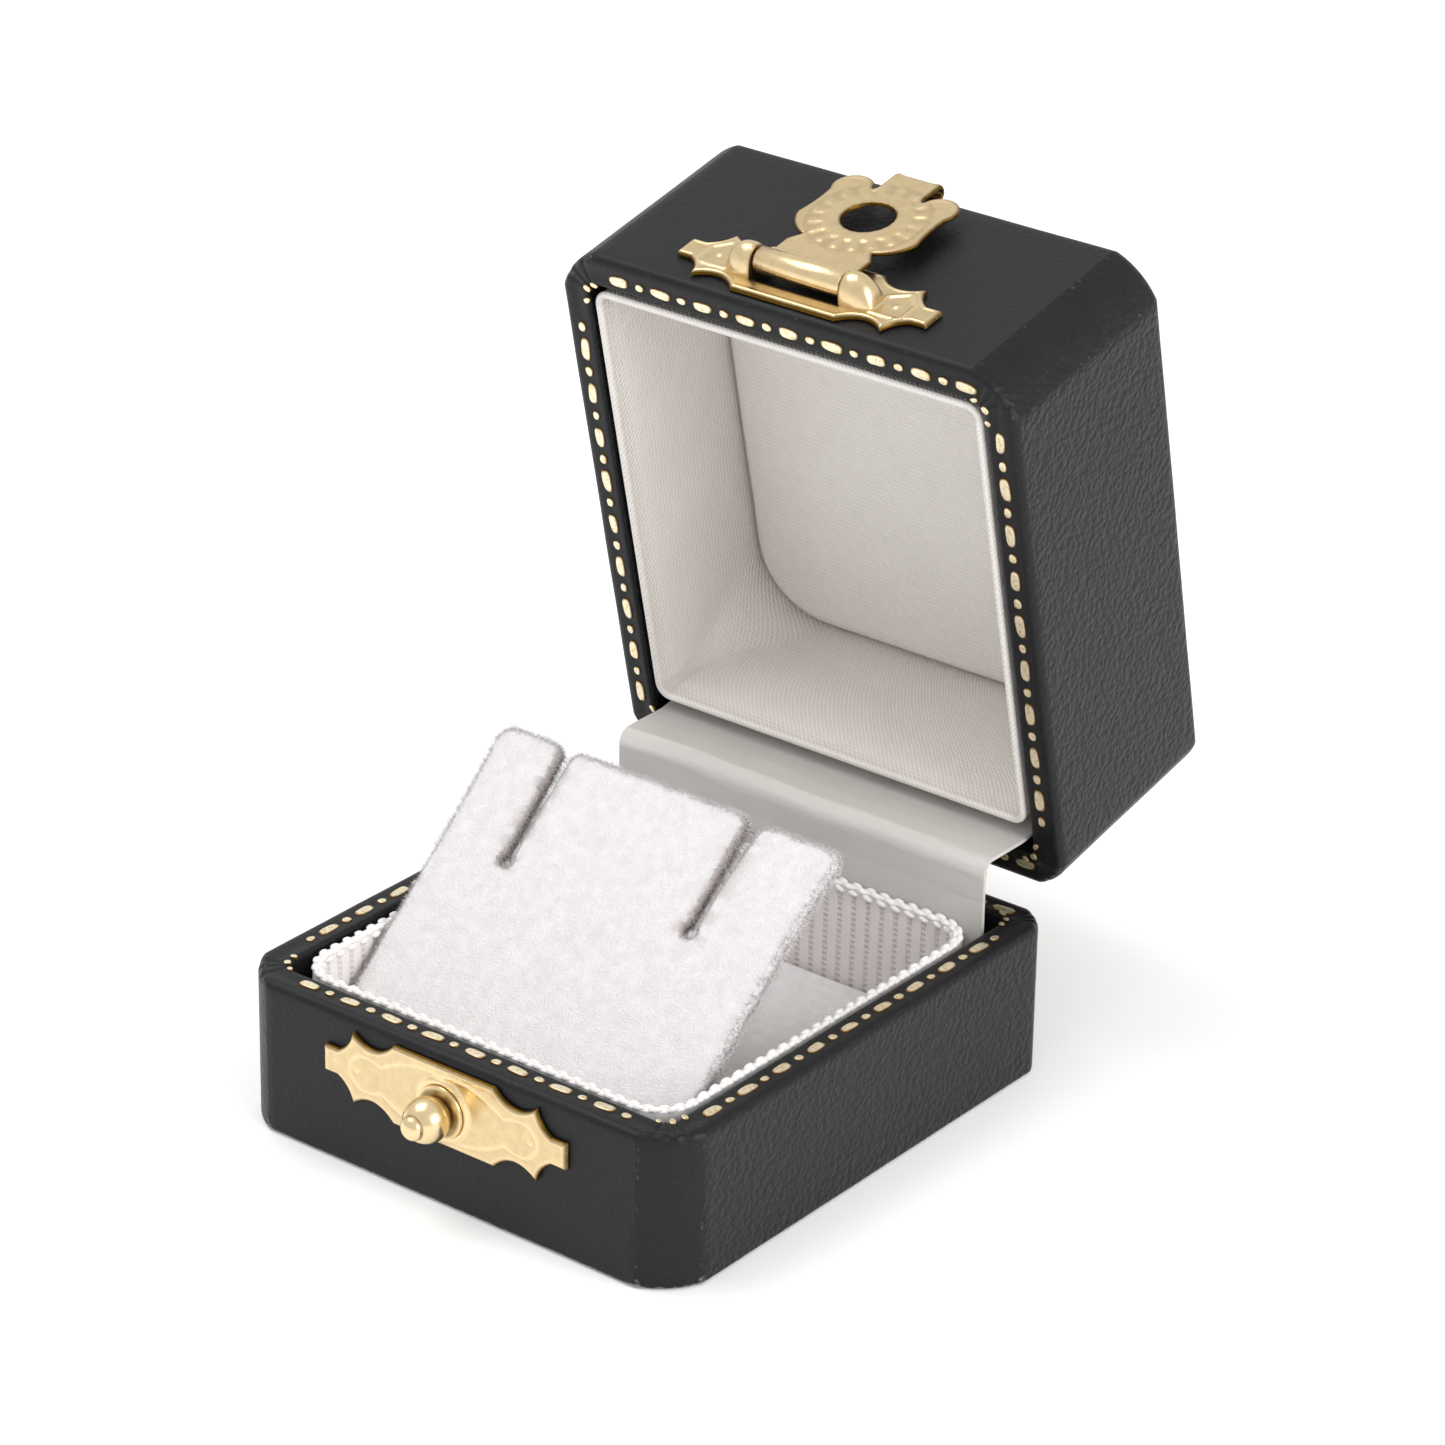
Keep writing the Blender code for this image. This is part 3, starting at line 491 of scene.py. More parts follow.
def gold_foil():
    """Pale gold leaf over leather: soft metal, brightest on the pad of each mark, brown where it ends."""
    material = new_material("pale gold foil")
    place = node(material, "TexCoord").outputs["Object"]
    edge = node(material, "Attribute", attribute_name="edge").outputs["Fac"]
    crumple = node(material, "TexNoise", {"Vector": place, "Scale": 1 / 0.0003, "Detail": 4.0})
    bump = node(material, "Bump",
        {"Height": crumple, "Strength": 0.5, "Distance": 0.00004})
    fade = node(material, "MapRange", {"Value": edge, "From Min": 0.80, "From Max": 0.97})
    broken = node(material, "MapRange", {"Value": crumple, "From Min": 0.35, "From Max": 0.5})
    leaf = node(material, "Mix",
        {"Factor": broken, "A": linear("#e6cc92"), "B": linear("#fbf0d2")}, data_type="RGBA")
    colour = node(material, "Mix",
        {"Factor": fade, "A": leaf.outputs["Result"], "B": linear("#7a5512")}, data_type="RGBA")
    return finish_material(material, Base_Color=colour.outputs["Result"], Metallic=0.85, Roughness=0.34,
        Normal=bump)


foil = gold_foil()
line_front, line_back = sides[1] + 0.0020, sides[2] - 0.0020
line_side = sides[0] - 0.0018
base_lines = (((0, line_front), (1, 0), -0.01750, 16), ((line_side, 0), (0, 1), -0.02010, 18),
    ((0, line_back), (-1, 0), -0.02060, 19), ((-line_side, 0), (0, -1), -0.02150, 18))
lid_lines = (((0, line_front), (1, 0), -0.01795, 17), ((line_side, 0), (0, 1), -0.02066, 18),
    ((0, line_back), (-1, 0), -0.02080, 19), ((-line_side, 0), (0, -1), -0.02120, 18))
in_front, behind = line_front + 0.0008, line_back - 0.0003
crowded = [(x, y) for x in (line_side - 0.0008, 0.0008 - line_side) for y in (in_front, behind)]
points, faces, edge = foil_marks(base_lines, crowded, base_high.z, 1, seed=11)
base_foil = make_piece("base_gold_tooling", points, faces, edge=edge)
points, faces, edge = foil_marks(lid_lines, crowded, lid_low[2], -1, seed=12)
lid_foil = make_piece("lid_gold_tooling", turned(points, -opening), faces, edge=edge)
fitted(base_foil, foil, "base", "black_leather")
fitted(lid_foil, foil, "lid", "black_leather")


# ---------------------------------------------------------------------------------------------------------
# Felt. A rectangle of thin black felt, glued under the base to hide the leather's turned-in edges.


def black_felt():
    """Black wool felt: fully matt, with a soft nap of fibres about 0.3 mm long."""
    fibre = 0.0003
    material = new_material("black felt")
    place = node(material, "TexCoord").outputs["Object"]
    nap = node(material, "TexNoise", {"Vector": place, "Scale": 1 / fibre, "Detail": 8.0})
    colour = node(material, "Mix",
        {"Factor": nap, "A": linear("#141414"), "B": linear("#303032")}, data_type="RGBA")
    bump = node(material, "Bump", {"Height": nap, "Strength": 0.8, "Distance": 0.0002})
    return finish_material(material, Base_Color=colour.outputs["Result"], Roughness=1.0, Sheen_Weight=0.3,
        Normal=bump)


coated(["base_felt"], black_felt())


# ---------------------------------------------------------------------------------------------------------
# Tray lining. White grosgrain, a ribbed cloth, pasted to a collar of thin card that is sprung into the base
# and stands against its walls. Its ribs run up the wall, and its woven edge is left at the top as rows of
# white knots.

wave_period = 0.314  # between the bands of a wave texture at scale 1
rib_pitch = 0.00157
rib_width = 0.00100
rib_depth = 0.00017
weft_pitch = 0.00057
collar_thickness = 0.0008
collar_radius = 0.0042
knot_size = (0.00118, 0.00062, 0.00056)


def distance_along(path):
    """The distance travelled along a path to each of its points."""
    return np.concatenate([[0], np.cumsum(np.linalg.norm(np.diff(path, axis=0), axis=1))])


def along_outline(sides, radii, shares):
    """Points at these shares of the way round an outline, and the unit normals there that point inwards."""
    dense = round_rectangle(sides, radii, 0, arc=60, straight=300)[0]
    travelled = distance_along(dense)
    ahead = np.roll(dense[:-1], -1, axis=0) - np.roll(dense[:-1], 1, axis=0)
    ahead = np.concatenate([ahead, ahead[:1]])
    at = np.asarray(shares) * travelled[-1]
    points = joined(*[np.interp(at, travelled, dense[:, i]) for i in (0, 1)])
    ahead = joined(*[np.interp(at, travelled, ahead[:, i]) for i in (0, 1)])
    ahead /= np.linalg.norm(ahead, axis=-1, keepdims=True)
    return points, joined(-ahead[:, 1], ahead[:, 0]), travelled[-1]


def rib_relief(phase, height):
    """How far the cloth sinks below its ribs, from 0 to 1.

    A rib is a low arch that falls away as the square of the distance from its middle. Between two ribs the
    cloth lies lower, but for a weft thread that crosses as a small hump, sin^2 of the height over its pitch.
    """
    off = np.abs((phase + 0.5) % 1 - 0.5) * rib_pitch / (rib_width / 2)
    arch = 0.22 * np.clip(off, 0, 1) ** 2
    between = np.clip((off - 1) / 0.12, 0, 1)
    hump = np.sin(np.pi * height / weft_pitch) ** 2
    return arch + between * (0.78 - 0.66 * hump)


def white_grosgrain():
    """White viscose grosgrain: soft sheen along the ribs' fine threads.

    The hollows between the ribs are painted a warm grey, as shade.
    """
    thread = 0.00016
    material = new_material("white grosgrain")
    cloth = node(material, "UVMap", uv_map="cloth").outputs[0]
    place = node(material, "TexCoord").outputs["Object"]
    sunk = node(material, "Attribute", attribute_name="sunk").outputs["Fac"]
    threads = node(material, "TexWave",
        {"Vector": cloth, "Scale": wave_period / thread, "Distortion": 1.5, "Detail": 2.0},
        bands_direction="X")
    fibres = node(material, "TexNoise", {"Vector": place, "Scale": 1 / 0.0002, "Detail": 4.0})
    relief = node(material, "Math", {0: fibres, 1: 0.7, 2: threads.outputs["Fac"]},
        operation="MULTIPLY_ADD")
    bump = node(material, "Bump", {"Height": relief, "Strength": 0.5, "Distance": 0.00005})
    # Painted shade: the cloth is darkened to a warm grey where it sinks between the ribs.
    painted_shade = node(material, "MapRange", {"Value": sunk, "From Min": 0.15, "From Max": 0.75})
    colour = node(material, "Mix",
        {"Factor": painted_shade, "A": linear("#f3f0ee"), "B": linear("#e0d6d4")}, data_type="RGBA")
    return finish_material(material, Base_Color=colour.outputs["Result"], Roughness=0.62, IOR=1.5,
        Sheen_Weight=0.25, Sheen_Roughness=0.4, Normal=bump)


grosgrain = white_grosgrain()
tray_low, tray_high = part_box("tray_collar")
tray_sides = (tray_high.x, tray_low.y, tray_high.y)
tray_radii = (collar_radius, collar_radius)
perimeter = along_outline(tray_sides, tray_radii, [0])[2]
ribs = round(perimeter / rib_pitch)
phases = np.array([0, 0.16, 0.27, 0.325, 0.36, 0.5, 0.64, 0.675, 0.73, 0.84])
shares = np.append((np.arange(ribs)[:, None] + phases).ravel(), ribs) / ribs
outline, inwards, _ = along_outline(tray_sides, tray_radii, shares)
phase = shares * ribs
pad_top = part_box("tray_floor_pad")[1].z
edge_top = tray_high.z
wall_rows = np.arange(edge_top - 0.0006, pad_top - 0.0004, -weft_pitch / 4)
rows = [(0.00005, tray_low.z, 0), (0.00005, edge_top - 0.0004, 0), (0.00025, edge_top - 0.00025, 0),
    (collar_thickness - 0.0002, edge_top - 0.00025, 0), (collar_thickness, edge_top - 0.0004, 0),
    *[(collar_thickness, z, 1) for z in wall_rows], (collar_thickness, tray_low.z, 0),
    (0.00005, tray_low.z, 0)]
depth, height, ribbed = np.array(rows).T[:, :, None]
sunk = ribbed * rib_relief(phase[None, :], height)
into = depth - sunk * rib_depth
grid = np.concatenate([outline + inwards * into[..., None], np.broadcast_to(height, into.shape)[..., None]],
    axis=-1)
collar_uv = joined(shares * perimeter, height)
collar = grid_piece("tray_lining", grid, uv=collar_uv, sunk=sunk)


def knots(sides, radii, rows, pitch, size, slant):
    """Rows of small ellipsoids round an outline, tilted like the strands of a plait.

    rows gives each row's depth in from the outline, its height and its share of a pitch. A knot is
    (a cos u cos v, b sin u cos v, c sin v), turned by slant in the wall's own plane.
    """
    u, v = np.meshgrid(np.linspace(0, 2 * np.pi, 9), np.linspace(-np.pi / 2, np.pi / 2, 7), indexing="ij")
    body = joined(np.cos(u) * np.cos(v), np.sin(u) * np.cos(v), np.sin(v)) * np.array(size) / 2
    length = along_outline(sides, radii, [0])[2]
    count = round(length / pitch)
    draw = np.random.default_rng(21)
    points, faces = [], []
    for depth, height, offset in rows:
        place, inward, _ = along_outline(sides, radii, (np.arange(count) + 0.5 + offset) / count % 1)
        for spot, to_middle in zip(place, inward):
            tilt = slant + draw.uniform(-0.12, 0.12)
            cos, sin = np.cos(tilt), np.sin(tilt)
            grown = body * draw.uniform(0.92, 1.08, 3)
            along = grown[..., 0] * cos - grown[..., 2] * sin
            up = grown[..., 0] * sin + grown[..., 2] * cos
            across = grown[..., 1] + depth
            ahead = np.array([to_middle[1], -to_middle[0]])
            flat = spot + ahead * along[..., None] + to_middle * across[..., None]
            faces.append(grid_faces(*body.shape[:2], first=len(points) * body.shape[0] * body.shape[1]))
            points.append(np.concatenate([flat, (height + up)[..., None]], axis=-1).reshape(-1, 3))
    return np.concatenate(points), np.concatenate(faces)


points, faces = knots(tray_sides, tray_radii,
    ((0.00022, edge_top - 0.00030, 0), (0.00068, edge_top - 0.00036, 0.5), (0.00082, edge_top - 0.00080, 0)),
    rib_pitch, knot_size, 0.15)
woven_edge = make_piece("tray_lining_woven_edge", points, faces, uv=points[:, [0, 2]],
    sunk=np.zeros(len(points)))


# The floor of the tray is a thin pad with the same flock on it as the card, cut to drop inside the collar.

pad_round = 0.0006
pad_low, pad_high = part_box("tray_floor_pad")
pad_sides = (pad_high.x, pad_low.y, pad_high.y)
pad_radii = (collar_radius - 0.0011, collar_radius - 0.0011)
pad_middle = pad_high.x
profile = np.concatenate([[(pad_middle, pad_low.z), (0, pad_low.z)],
    line((0, pad_low.z), (0, pad_high.z - pad_round), 4),
    arc_about(pad_round, pad_high.z - pad_round, pad_round, 180, 90),
    line((pad_round, pad_high.z), (pad_middle, pad_high.z), 40), [(pad_middle, pad_high.z)]])
grid = carried(profile, pad_sides, pad_radii, arc=10, straight=60)
grid[..., 2] += 0.00004 * ripples(grid, 0.006, 31) * (grid[..., 2] > pad_high.z - pad_round)
floor_pad = grid_piece("tray_floor_padding", grid, raw=np.zeros(grid.shape[:2]))
fitted(collar, grosgrain, "base", "white_grosgrain", "tray_collar")
fitted(woven_edge, grosgrain, "base", "white_grosgrain")


# ---------------------------------------------------------------------------------------------------------
# Earring card. A brown card 1.3 mm thick, flocked all over with fine nylon hairs, that stands in the tray
# as a slope. Two slits are cut down from its back edge, for the earrings to hang in.

slot_x = (-0.01215, 0.00875)
slot_reach = 0.0218
slot_width = 0.0007
slot_end_radius = 0.0006
mouth_radius = 0.0013
card_corner_back, card_corner_front = 0.0018, 0.0042
card_round = 0.00045
card_thickness = 0.0013
tab_rise, tab_fall = 0.0005, 0.0011
hair_count, hair_length, hair_width = 15000, 0.00048, 0.000036


def even_steps(path, spacing, whole):
    """Points along a path at about this spacing, its corners kept. whole rounds the number of steps."""
    parts = []
    for start, end in zip(path[:-1], path[1:]):
        steps = max(1, whole(np.linalg.norm(end - start) / spacing))
        parts.append(start + (end - start) * np.linspace(0, 1, steps + 1)[:-1, None])
    return np.concatenate([*parts, path[-1:]])


def card_outline(left, right, length):
    """The card's outline seen square on, running leftwards round it: x across it and s up its slope."""
    near, far, half = card_corner_front, card_corner_back, slot_width / 2
    parts = [arc_about(right - near, near, near, -90, 0, 14)]
    parts.append(arc_about(right - far, length - far, far, 0, 90, 8))
    for x in sorted(slot_x, reverse=True):
        away = half + mouth_radius
        parts.append(arc_about(x + away, length - mouth_radius, mouth_radius, 90, 180, 6))
        parts.append(arc_about(x, slot_reach + slot_end_radius, slot_end_radius, 60, -240, 14))
        parts.append(arc_about(x - away, length - mouth_radius, mouth_radius, 0, 90, 6))
    parts.append(arc_about(left + far, length - far, far, 90, 180, 8))
    parts.append(arc_about(left + near, near, near, 180, 270, 14))
    corners = np.concatenate([*parts, parts[0][:1]])
    return even_steps(corners, 0.0007, round)[:-1]


def outward_normals(outline):
    """Unit normals of a closed outline that runs leftwards round: its direction turned a quarter right."""
    ahead = np.roll(outline, -1, axis=0) - np.roll(outline, 1, axis=0)
    ahead /= np.maximum(np.linalg.norm(ahead, axis=1, keepdims=True), 1e-12)
    return joined(ahead[:, 1], -ahead[:, 0])


def distance_to(points, path):
    """The distance of each point from a path of straight pieces, in its plane."""
    start, along = path[:-1], np.diff(path, axis=0)
    length = np.maximum((along**2).sum(axis=1), 1e-16)
    off = points[..., None, :] - start
    share = np.clip((off * along).sum(axis=-1) / length, 0, 1)
    return np.linalg.norm(off - along * share[..., None], axis=-1).min(axis=-1)


def filled(outline, spacing=0.0012):
    """Points and triangles that fill a flat outline: a Delaunay net of its own points and an even grid."""
    low, high = outline.min(axis=0) + 0.0004, outline.max(axis=0) - 0.0004
    steps = [np.arange(start, end, spacing) for start, end in zip(low, high)]
    grid = joined(*np.meshgrid(*steps)).reshape(-1, 2)
    grid = grid[distance_to(grid, np.append(outline, outline[:1], axis=0)) > spacing / 3]
    points = [Vector(point) for point in np.concatenate([outline, grid])]
    net = delaunay_2d_cdt(points, [], [list(range(len(outline)))], 1, 1e-7)
    return np.array([tuple(point) for point in net[0]]), np.array(net[2])


def plate_of(outline, thickness, edge):
    """A layered plate, closed by two flat caps.

    Its edge is its outline drawn in along a half ellipse, with a narrow groove round the middle.
    """
    normals = outward_normals(outline)
    angle = np.radians(np.linspace(-90, 90, 17))
    inset, height = edge * (1 - np.cos(angle)), thickness / 2 * (1 + np.sin(angle))
    inset = inset + 0.00014 * np.exp(-((angle / 0.3) ** 2))
    rings = outline[None] - normals[None] * inset[:, None, None]
    heights = np.broadcast_to(height[:, None, None], (*rings.shape[:2], 1))
    grid = np.concatenate([rings, heights], axis=-1)
    grid = np.concatenate([grid, grid[:, :1]], axis=1)
    middle = np.broadcast_to(np.exp(-((angle / 0.9) ** 2))[:, None], grid.shape[:2])
    flat, corners = filled(rings[0])
    caps = [np.append(flat, np.full((len(flat), 1), height), axis=1) for height in (0, thickness)]
    points = np.concatenate([grid.reshape(-1, 3), *caps])
    first = grid.shape[0] * grid.shape[1]
    faces = [grid_faces(*grid.shape[:2]), corners[:, ::-1] + first, corners + first + len(flat)]
    return points, faces, np.append(middle, np.zeros(2 * len(flat)))


def white_flock():
    """White nylon flock: chalk matt and faintly pink, with short hairs that catch the light at the edges.

    An attribute says where the brown card inside shows, along the cuts. Down the slits it is made stronger,
    as painted shade.
    """
    hair, patch = 0.00020, 0.0012
    material = new_material("white nylon flock")
    place = node(material, "TexCoord").outputs["Object"]
    raw = node(material, "Attribute", attribute_name="raw").outputs["Fac"]
    hairs = node(material, "TexNoise", {"Vector": place, "Scale": 1 / hair, "Detail": 5.0})
    patches = node(material, "TexNoise", {"Vector": place, "Scale": 1 / patch, "Detail": 3.0})
    tone = node(material, "Math", {0: hairs, 1: 0.55, 2: patches},
        operation="MULTIPLY_ADD")
    tone = node(material, "MapRange", {"Value": tone, "From Min": 0.55, "From Max": 1.0})
    colour = node(material, "Mix",
        {"Factor": tone, "A": linear("#e2dcdd"), "B": linear("#efebec")}, data_type="RGBA")
    # The brown is the card's cut edge, and deep in the slits it is also painted shade.
    cut = node(material, "Mix", {"Factor": raw, "A": colour.outputs["Result"],
        "B": linear("#7d675c")}, data_type="RGBA")
    bump = node(material, "Bump", {"Height": hairs, "Strength": 1.0, "Distance": 0.00020})
    return finish_material(material, Base_Color=cut.outputs["Result"], Roughness=1.0, Sheen_Weight=0.6,
        Sheen_Roughness=0.6, Normal=bump)


def hairs_at(roots, directions, seed):
    """One thin spike for each root: a triangle of points round the root and a tip, leaning at random."""
    draw = np.random.default_rng(seed)
    count = len(roots)
    lean = directions + draw.normal(scale=0.45, size=(count, 3))
    lean /= np.linalg.norm(lean, axis=1, keepdims=True)
    side = np.cross(lean, draw.normal(size=(count, 3)))
    side /= np.linalg.norm(side, axis=1, keepdims=True)
    other = np.cross(lean, side)
    length = hair_length * draw.uniform(0.45, 1.3, (count, 1))
    turn = np.radians([0, 120, 240])
    ring = [roots - lean * 0.00008 + hair_width * (side * np.cos(a) + other * np.sin(a)) for a in turn]
    points = np.stack([*ring, roots + lean * length], axis=1)
    corners = np.array([[0, 1, 3], [1, 2, 3], [2, 0, 3], [0, 2, 1]])
    faces = (np.arange(count)[:, None, None] * 4 + corners).reshape(-1, 3)
    return points.reshape(-1, 3), faces


card_low, card_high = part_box("earring_card")
pivot = np.array(joint_named("card_fold")["pos_m"])
slope = np.arctan2(card_high.z - pivot[2], card_high.y - pivot[1])
for _ in range(20):
    slope = np.arctan2(card_high.z - pivot[2] - card_thickness * np.cos(slope), card_high.y - pivot[1])
card_length = (card_high.z - pivot[2] - card_thickness * np.cos(slope)) / np.sin(slope)
outline = card_outline(card_low.x, card_high.x, card_length)
ragged = ripples(np.append(outline, 0 * outline[:, :1], axis=1), 0.0011, 43)
outline = outline + outward_normals(outline) * (0.00005 * ragged - 0.00004)[:, None]
points, faces, raw = plate_of(outline, card_thickness, card_round)
in_slot = np.abs(np.abs(points[:, 0] - np.mean(slot_x)) - np.ptp(slot_x) / 2) < 0.0012
# Down the slits the brown is made stronger, as painted shade in the narrow gap; elsewhere the card's cut edge
# shows its brown core more faintly.
raw = np.where(in_slot & (points[:, 1] > slot_reach - 0.0002), raw**0.4, 0.4 * raw)


def stood_up(flat):
    """Points of the flat card stood on its slope: y = s cos a - t sin a, z = s sin a + t cos a from the fold.

    The tabs outside the slits are bent a little first, one up and one down, by the square of the way along.
    """
    across, along, out = flat[..., 0], flat[..., 1], flat[..., 2]
    bent = np.clip((along - slot_reach) / (card_length - slot_reach), 0, None) ** 2
    out = out + bent * (tab_rise * (across < slot_x[0]) - tab_fall * (across > slot_x[1]))
    y = pivot[1] + along * np.cos(slope) - out * np.sin(slope)
    z = pivot[2] + along * np.sin(slope) + out * np.cos(slope)
    return joined(across, y, z)


card = make_piece("flocked_earring_card", stood_up(points), faces, sharp=80, raw=raw)
draw = np.random.default_rng(41)
normals = outward_normals(outline)
steps = np.linalg.norm(np.roll(outline, -1, axis=0) - outline, axis=1)
chosen = draw.choice(len(outline), size=hair_count, p=steps / steps.sum())
mixed = draw.uniform(0, 1, (len(chosen), 1))
following = (chosen + 1) % len(outline)
spot = outline[chosen] * (1 - mixed) + outline[following] * mixed
facing = normals[chosen]
around = np.radians(draw.uniform(-80, 95, (len(chosen), 1)))
inset, out = card_round * (1 - np.cos(around)), card_thickness / 2 * (1 + np.sin(around))
roots = np.concatenate([spot - facing * inset, out], axis=1)
directions = np.concatenate([facing * np.cos(around), np.sin(around)], axis=1)
root_points, hair_faces = hairs_at(roots, directions, seed=42)
hair = make_piece("earring_card_flock_hairs", stood_up(root_points), hair_faces, sharp=180,
    raw=np.zeros(len(root_points)))
flock = white_flock()
fitted(card, flock, "card", "white_flock", "earring_card")
fitted(hair, flock, "card", "white_flock")
fitted(floor_pad, flock, "base", "white_flock", "tray_floor_pad")


# ---------------------------------------------------------------------------------------------------------
# Hinge ribbon. A strip of the lid's satin, glued to the back of the tray's collar and up behind the lid's
# liner, that covers the gap at the hinges. It stands in a soft crease when the lid is open.

ribbon_path = ((0.021675, 0.0090), (0.021675, 0.0205), (0.02240, 0.0212), (0.02793, 0.02125),
    (0.03202, 0.02218))
ribbon_thickness = 0.00035
ribbon_crease = 0.00045
satin_thread = 0.00034


def rounded_path(corners, radius, spacing):
    """A path through these corners, with a curve of about this radius at each, in even steps.

    A corner is replaced by the quadratic curve between the points at radius before and after it.
    """
    corners = np.array(corners)
    share = np.linspace(0, 1, 9)[:, None]
    parts = [corners[:1]]
    for before, corner, after in zip(corners[:-2], corners[1:-1], corners[2:]):
        back, on = before - corner, after - corner
        reach = min(radius, np.linalg.norm(back) / 2, np.linalg.norm(on) / 2)
        enter = corner + back / np.linalg.norm(back) * reach
        leave = corner + on / np.linalg.norm(on) * reach
        parts.append(enter * (1 - share) ** 2 + 2 * corner * share * (1 - share) + leave * share**2)
    path = np.concatenate([*parts, corners[-1:]])
    travelled = distance_along(path)
    at = np.linspace(0, travelled[-1], round(travelled[-1] / spacing) + 1)
    return joined(*[np.interp(at, travelled, path[:, i]) for i in (0, 1)]), travelled[-1]


def ivory_satin():
    """Ivory rayon satin: a soft gloss, a little warm in its shadows, over a weave in fine slanting lines.

    Such a weave is about 0.1 mm, and it is drawn about three times as coarse so that it shows.
    """
    material = new_material("ivory satin")
    cloth = node(material, "UVMap", uv_map="cloth").outputs[0]
    place = node(material, "TexCoord").outputs["Object"]
    slanted = node(material, "Mapping", {"Vector": cloth, "Rotation": (0, 0, np.radians(38))})
    twill = node(material, "TexWave",
        {"Vector": slanted, "Scale": wave_period / satin_thread, "Distortion": 2.0, "Detail": 1.0},
        bands_direction="X")
    cross = node(material, "TexWave",
        {"Vector": cloth, "Scale": wave_period / (satin_thread * 1.3), "Distortion": 1.0, "Detail": 1.0},
        bands_direction="Y")
    slubs = node(material, "TexNoise", {"Vector": place, "Scale": 1 / 0.0006, "Detail": 4.0})
    weave = node(material, "Math", {0: cross.outputs["Fac"], 1: 0.5, 2: twill.outputs["Fac"]},
        operation="MULTIPLY_ADD")
    relief = node(material, "Math", {0: slubs, 1: 0.8, 2: weave},
        operation="MULTIPLY_ADD")
    bump = node(material, "Bump", {"Height": relief, "Strength": 0.6, "Distance": 0.00006})
    patches = node(material, "TexNoise", {"Vector": place, "Scale": 1 / 0.005, "Detail": 3.0})
    tone = node(material, "Math", {0: patches, 1: 0.5, 2: weave},
        operation="MULTIPLY_ADD")
    tone = node(material, "MapRange", {"Value": tone, "From Min": 0.3, "From Max": 1.5})
    colour = node(material, "Mix",
        {"Factor": tone, "A": linear("#ddd7d1"), "B": linear("#efebe6")}, data_type="RGBA")
    return finish_material(material, Base_Color=colour.outputs["Result"], Roughness=0.32, IOR=1.5,
        Sheen_Weight=0.15, Sheen_Roughness=0.4, Normal=bump)


satin = ivory_satin()
ribbon_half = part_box("hinge_ribbon")[1].x
path, ribbon_length = rounded_path(ribbon_path, ribbon_crease, 0.00025)
normals = np.gradient(path, axis=0)
normals /= np.linalg.norm(normals, axis=1, keepdims=True)
normals = joined(-normals[:, 1], normals[:, 0])
across = np.linspace(-ribbon_half, ribbon_half, 121)
loop = np.concatenate([path + normals * ribbon_thickness / 2, (path - normals * ribbon_thickness / 2)[::-1]])
loop = np.concatenate([loop, loop[:1]])
x, y = np.broadcast_arrays(across[None, :], loop[:, :1])
z = np.broadcast_to(loop[:, 1:], x.shape)
grid = joined(x, y, z)
free = np.clip((z - 0.0150) / 0.004, 0, 1) * np.clip((0.0300 - y) / 0.003, 0, 1)
sag = ripples(joined(x, y * 0.5, z * 0.5), 0.016, 51)
grid[..., 2] += 0.00018 * free * sag
grid[..., 1] += 0.00012 * free * sag
spine = (grid + np.concatenate([grid[:-1][::-1], grid[:-1][-1:]])) / 2
grid = np.concatenate([spine[:, :1], grid, spine[:, -1:]], axis=1)
# Its cloth coordinates are a mistake. They are the tray collar's and not the distances across and along the
# ribbon, so the satin's weave doesn't follow it.
uv = np.concatenate([collar_uv[:, :1], collar_uv, collar_uv[:, -1:]], axis=1)
ribbon = grid_piece("satin_hinge_ribbon", grid, uv=uv, sharp=70)
ribbon.data.materials.append(satin)
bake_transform(ribbon)
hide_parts("hinge_ribbon")


# ---------------------------------------------------------------------------------------------------------
# Lid lining. A collar of thin card covered in ivory satin, with the satin rolled over its rim, and a card
# cushion with a little wadding under the same satin, pressed in behind it.

liner_thickness = 0.0009
liner_radius, deep_radius = 0.0016, 0.0078
liner_perimeter = 0.168
roll_radius = 0.00036
cushion_shoulder = 0.0013
cushion_radii = (0.0018, 0.0074)
cushion_hollow = 0.0006

liner_low, liner_high = closed_box("lid_satin_liner")
liner_sides = (liner_high[0], liner_low[1], liner_high[1])
liner_radii = (liner_radius, liner_radius)
rim, top = liner_low[2], liner_high[2]
profile = np.concatenate([[(0.0001, top), (0.0001, rim + roll_radius * 2.2)],
    arc_about(roll_radius, rim + roll_radius, roll_radius, 150, 400, steps=14),
    line((liner_thickness - 0.00006, rim + 0.0011), (liner_thickness, top), 26),
    [(liner_thickness, top), (0.0001, top)]])
grid = carried(profile, liner_sides, liner_radii, arc=12, straight=60)
rounder = carried(profile, liner_sides, (liner_radius, deep_radius), arc=12, straight=60)
inside = (profile[:, 0] > liner_thickness * 0.8)[:, None, None]
depth = np.clip((profile[:, 1] - rim - 0.003) / 0.012, 0, 1)[:, None, None] * inside
grid = grid + (rounder - grid) * depth * depth * (3 - 2 * depth)
normal = normals_of(grid)
loose = np.clip((grid[..., 2] - rim) / 0.002, 0, 1) * np.clip((top - grid[..., 2]) / 0.002, 0, 1)
grid += normal * (0.00007 * loose * ripples(grid, 0.010, 61))[..., None]
travelled = distance_along(profile)
around = np.linspace(0, 1, grid.shape[1]) * liner_perimeter
uv = joined(around[None, :], travelled[:, None])
liner = grid_piece("lid_satin_lining", turned(grid, -opening), uv=uv, sharp=70)

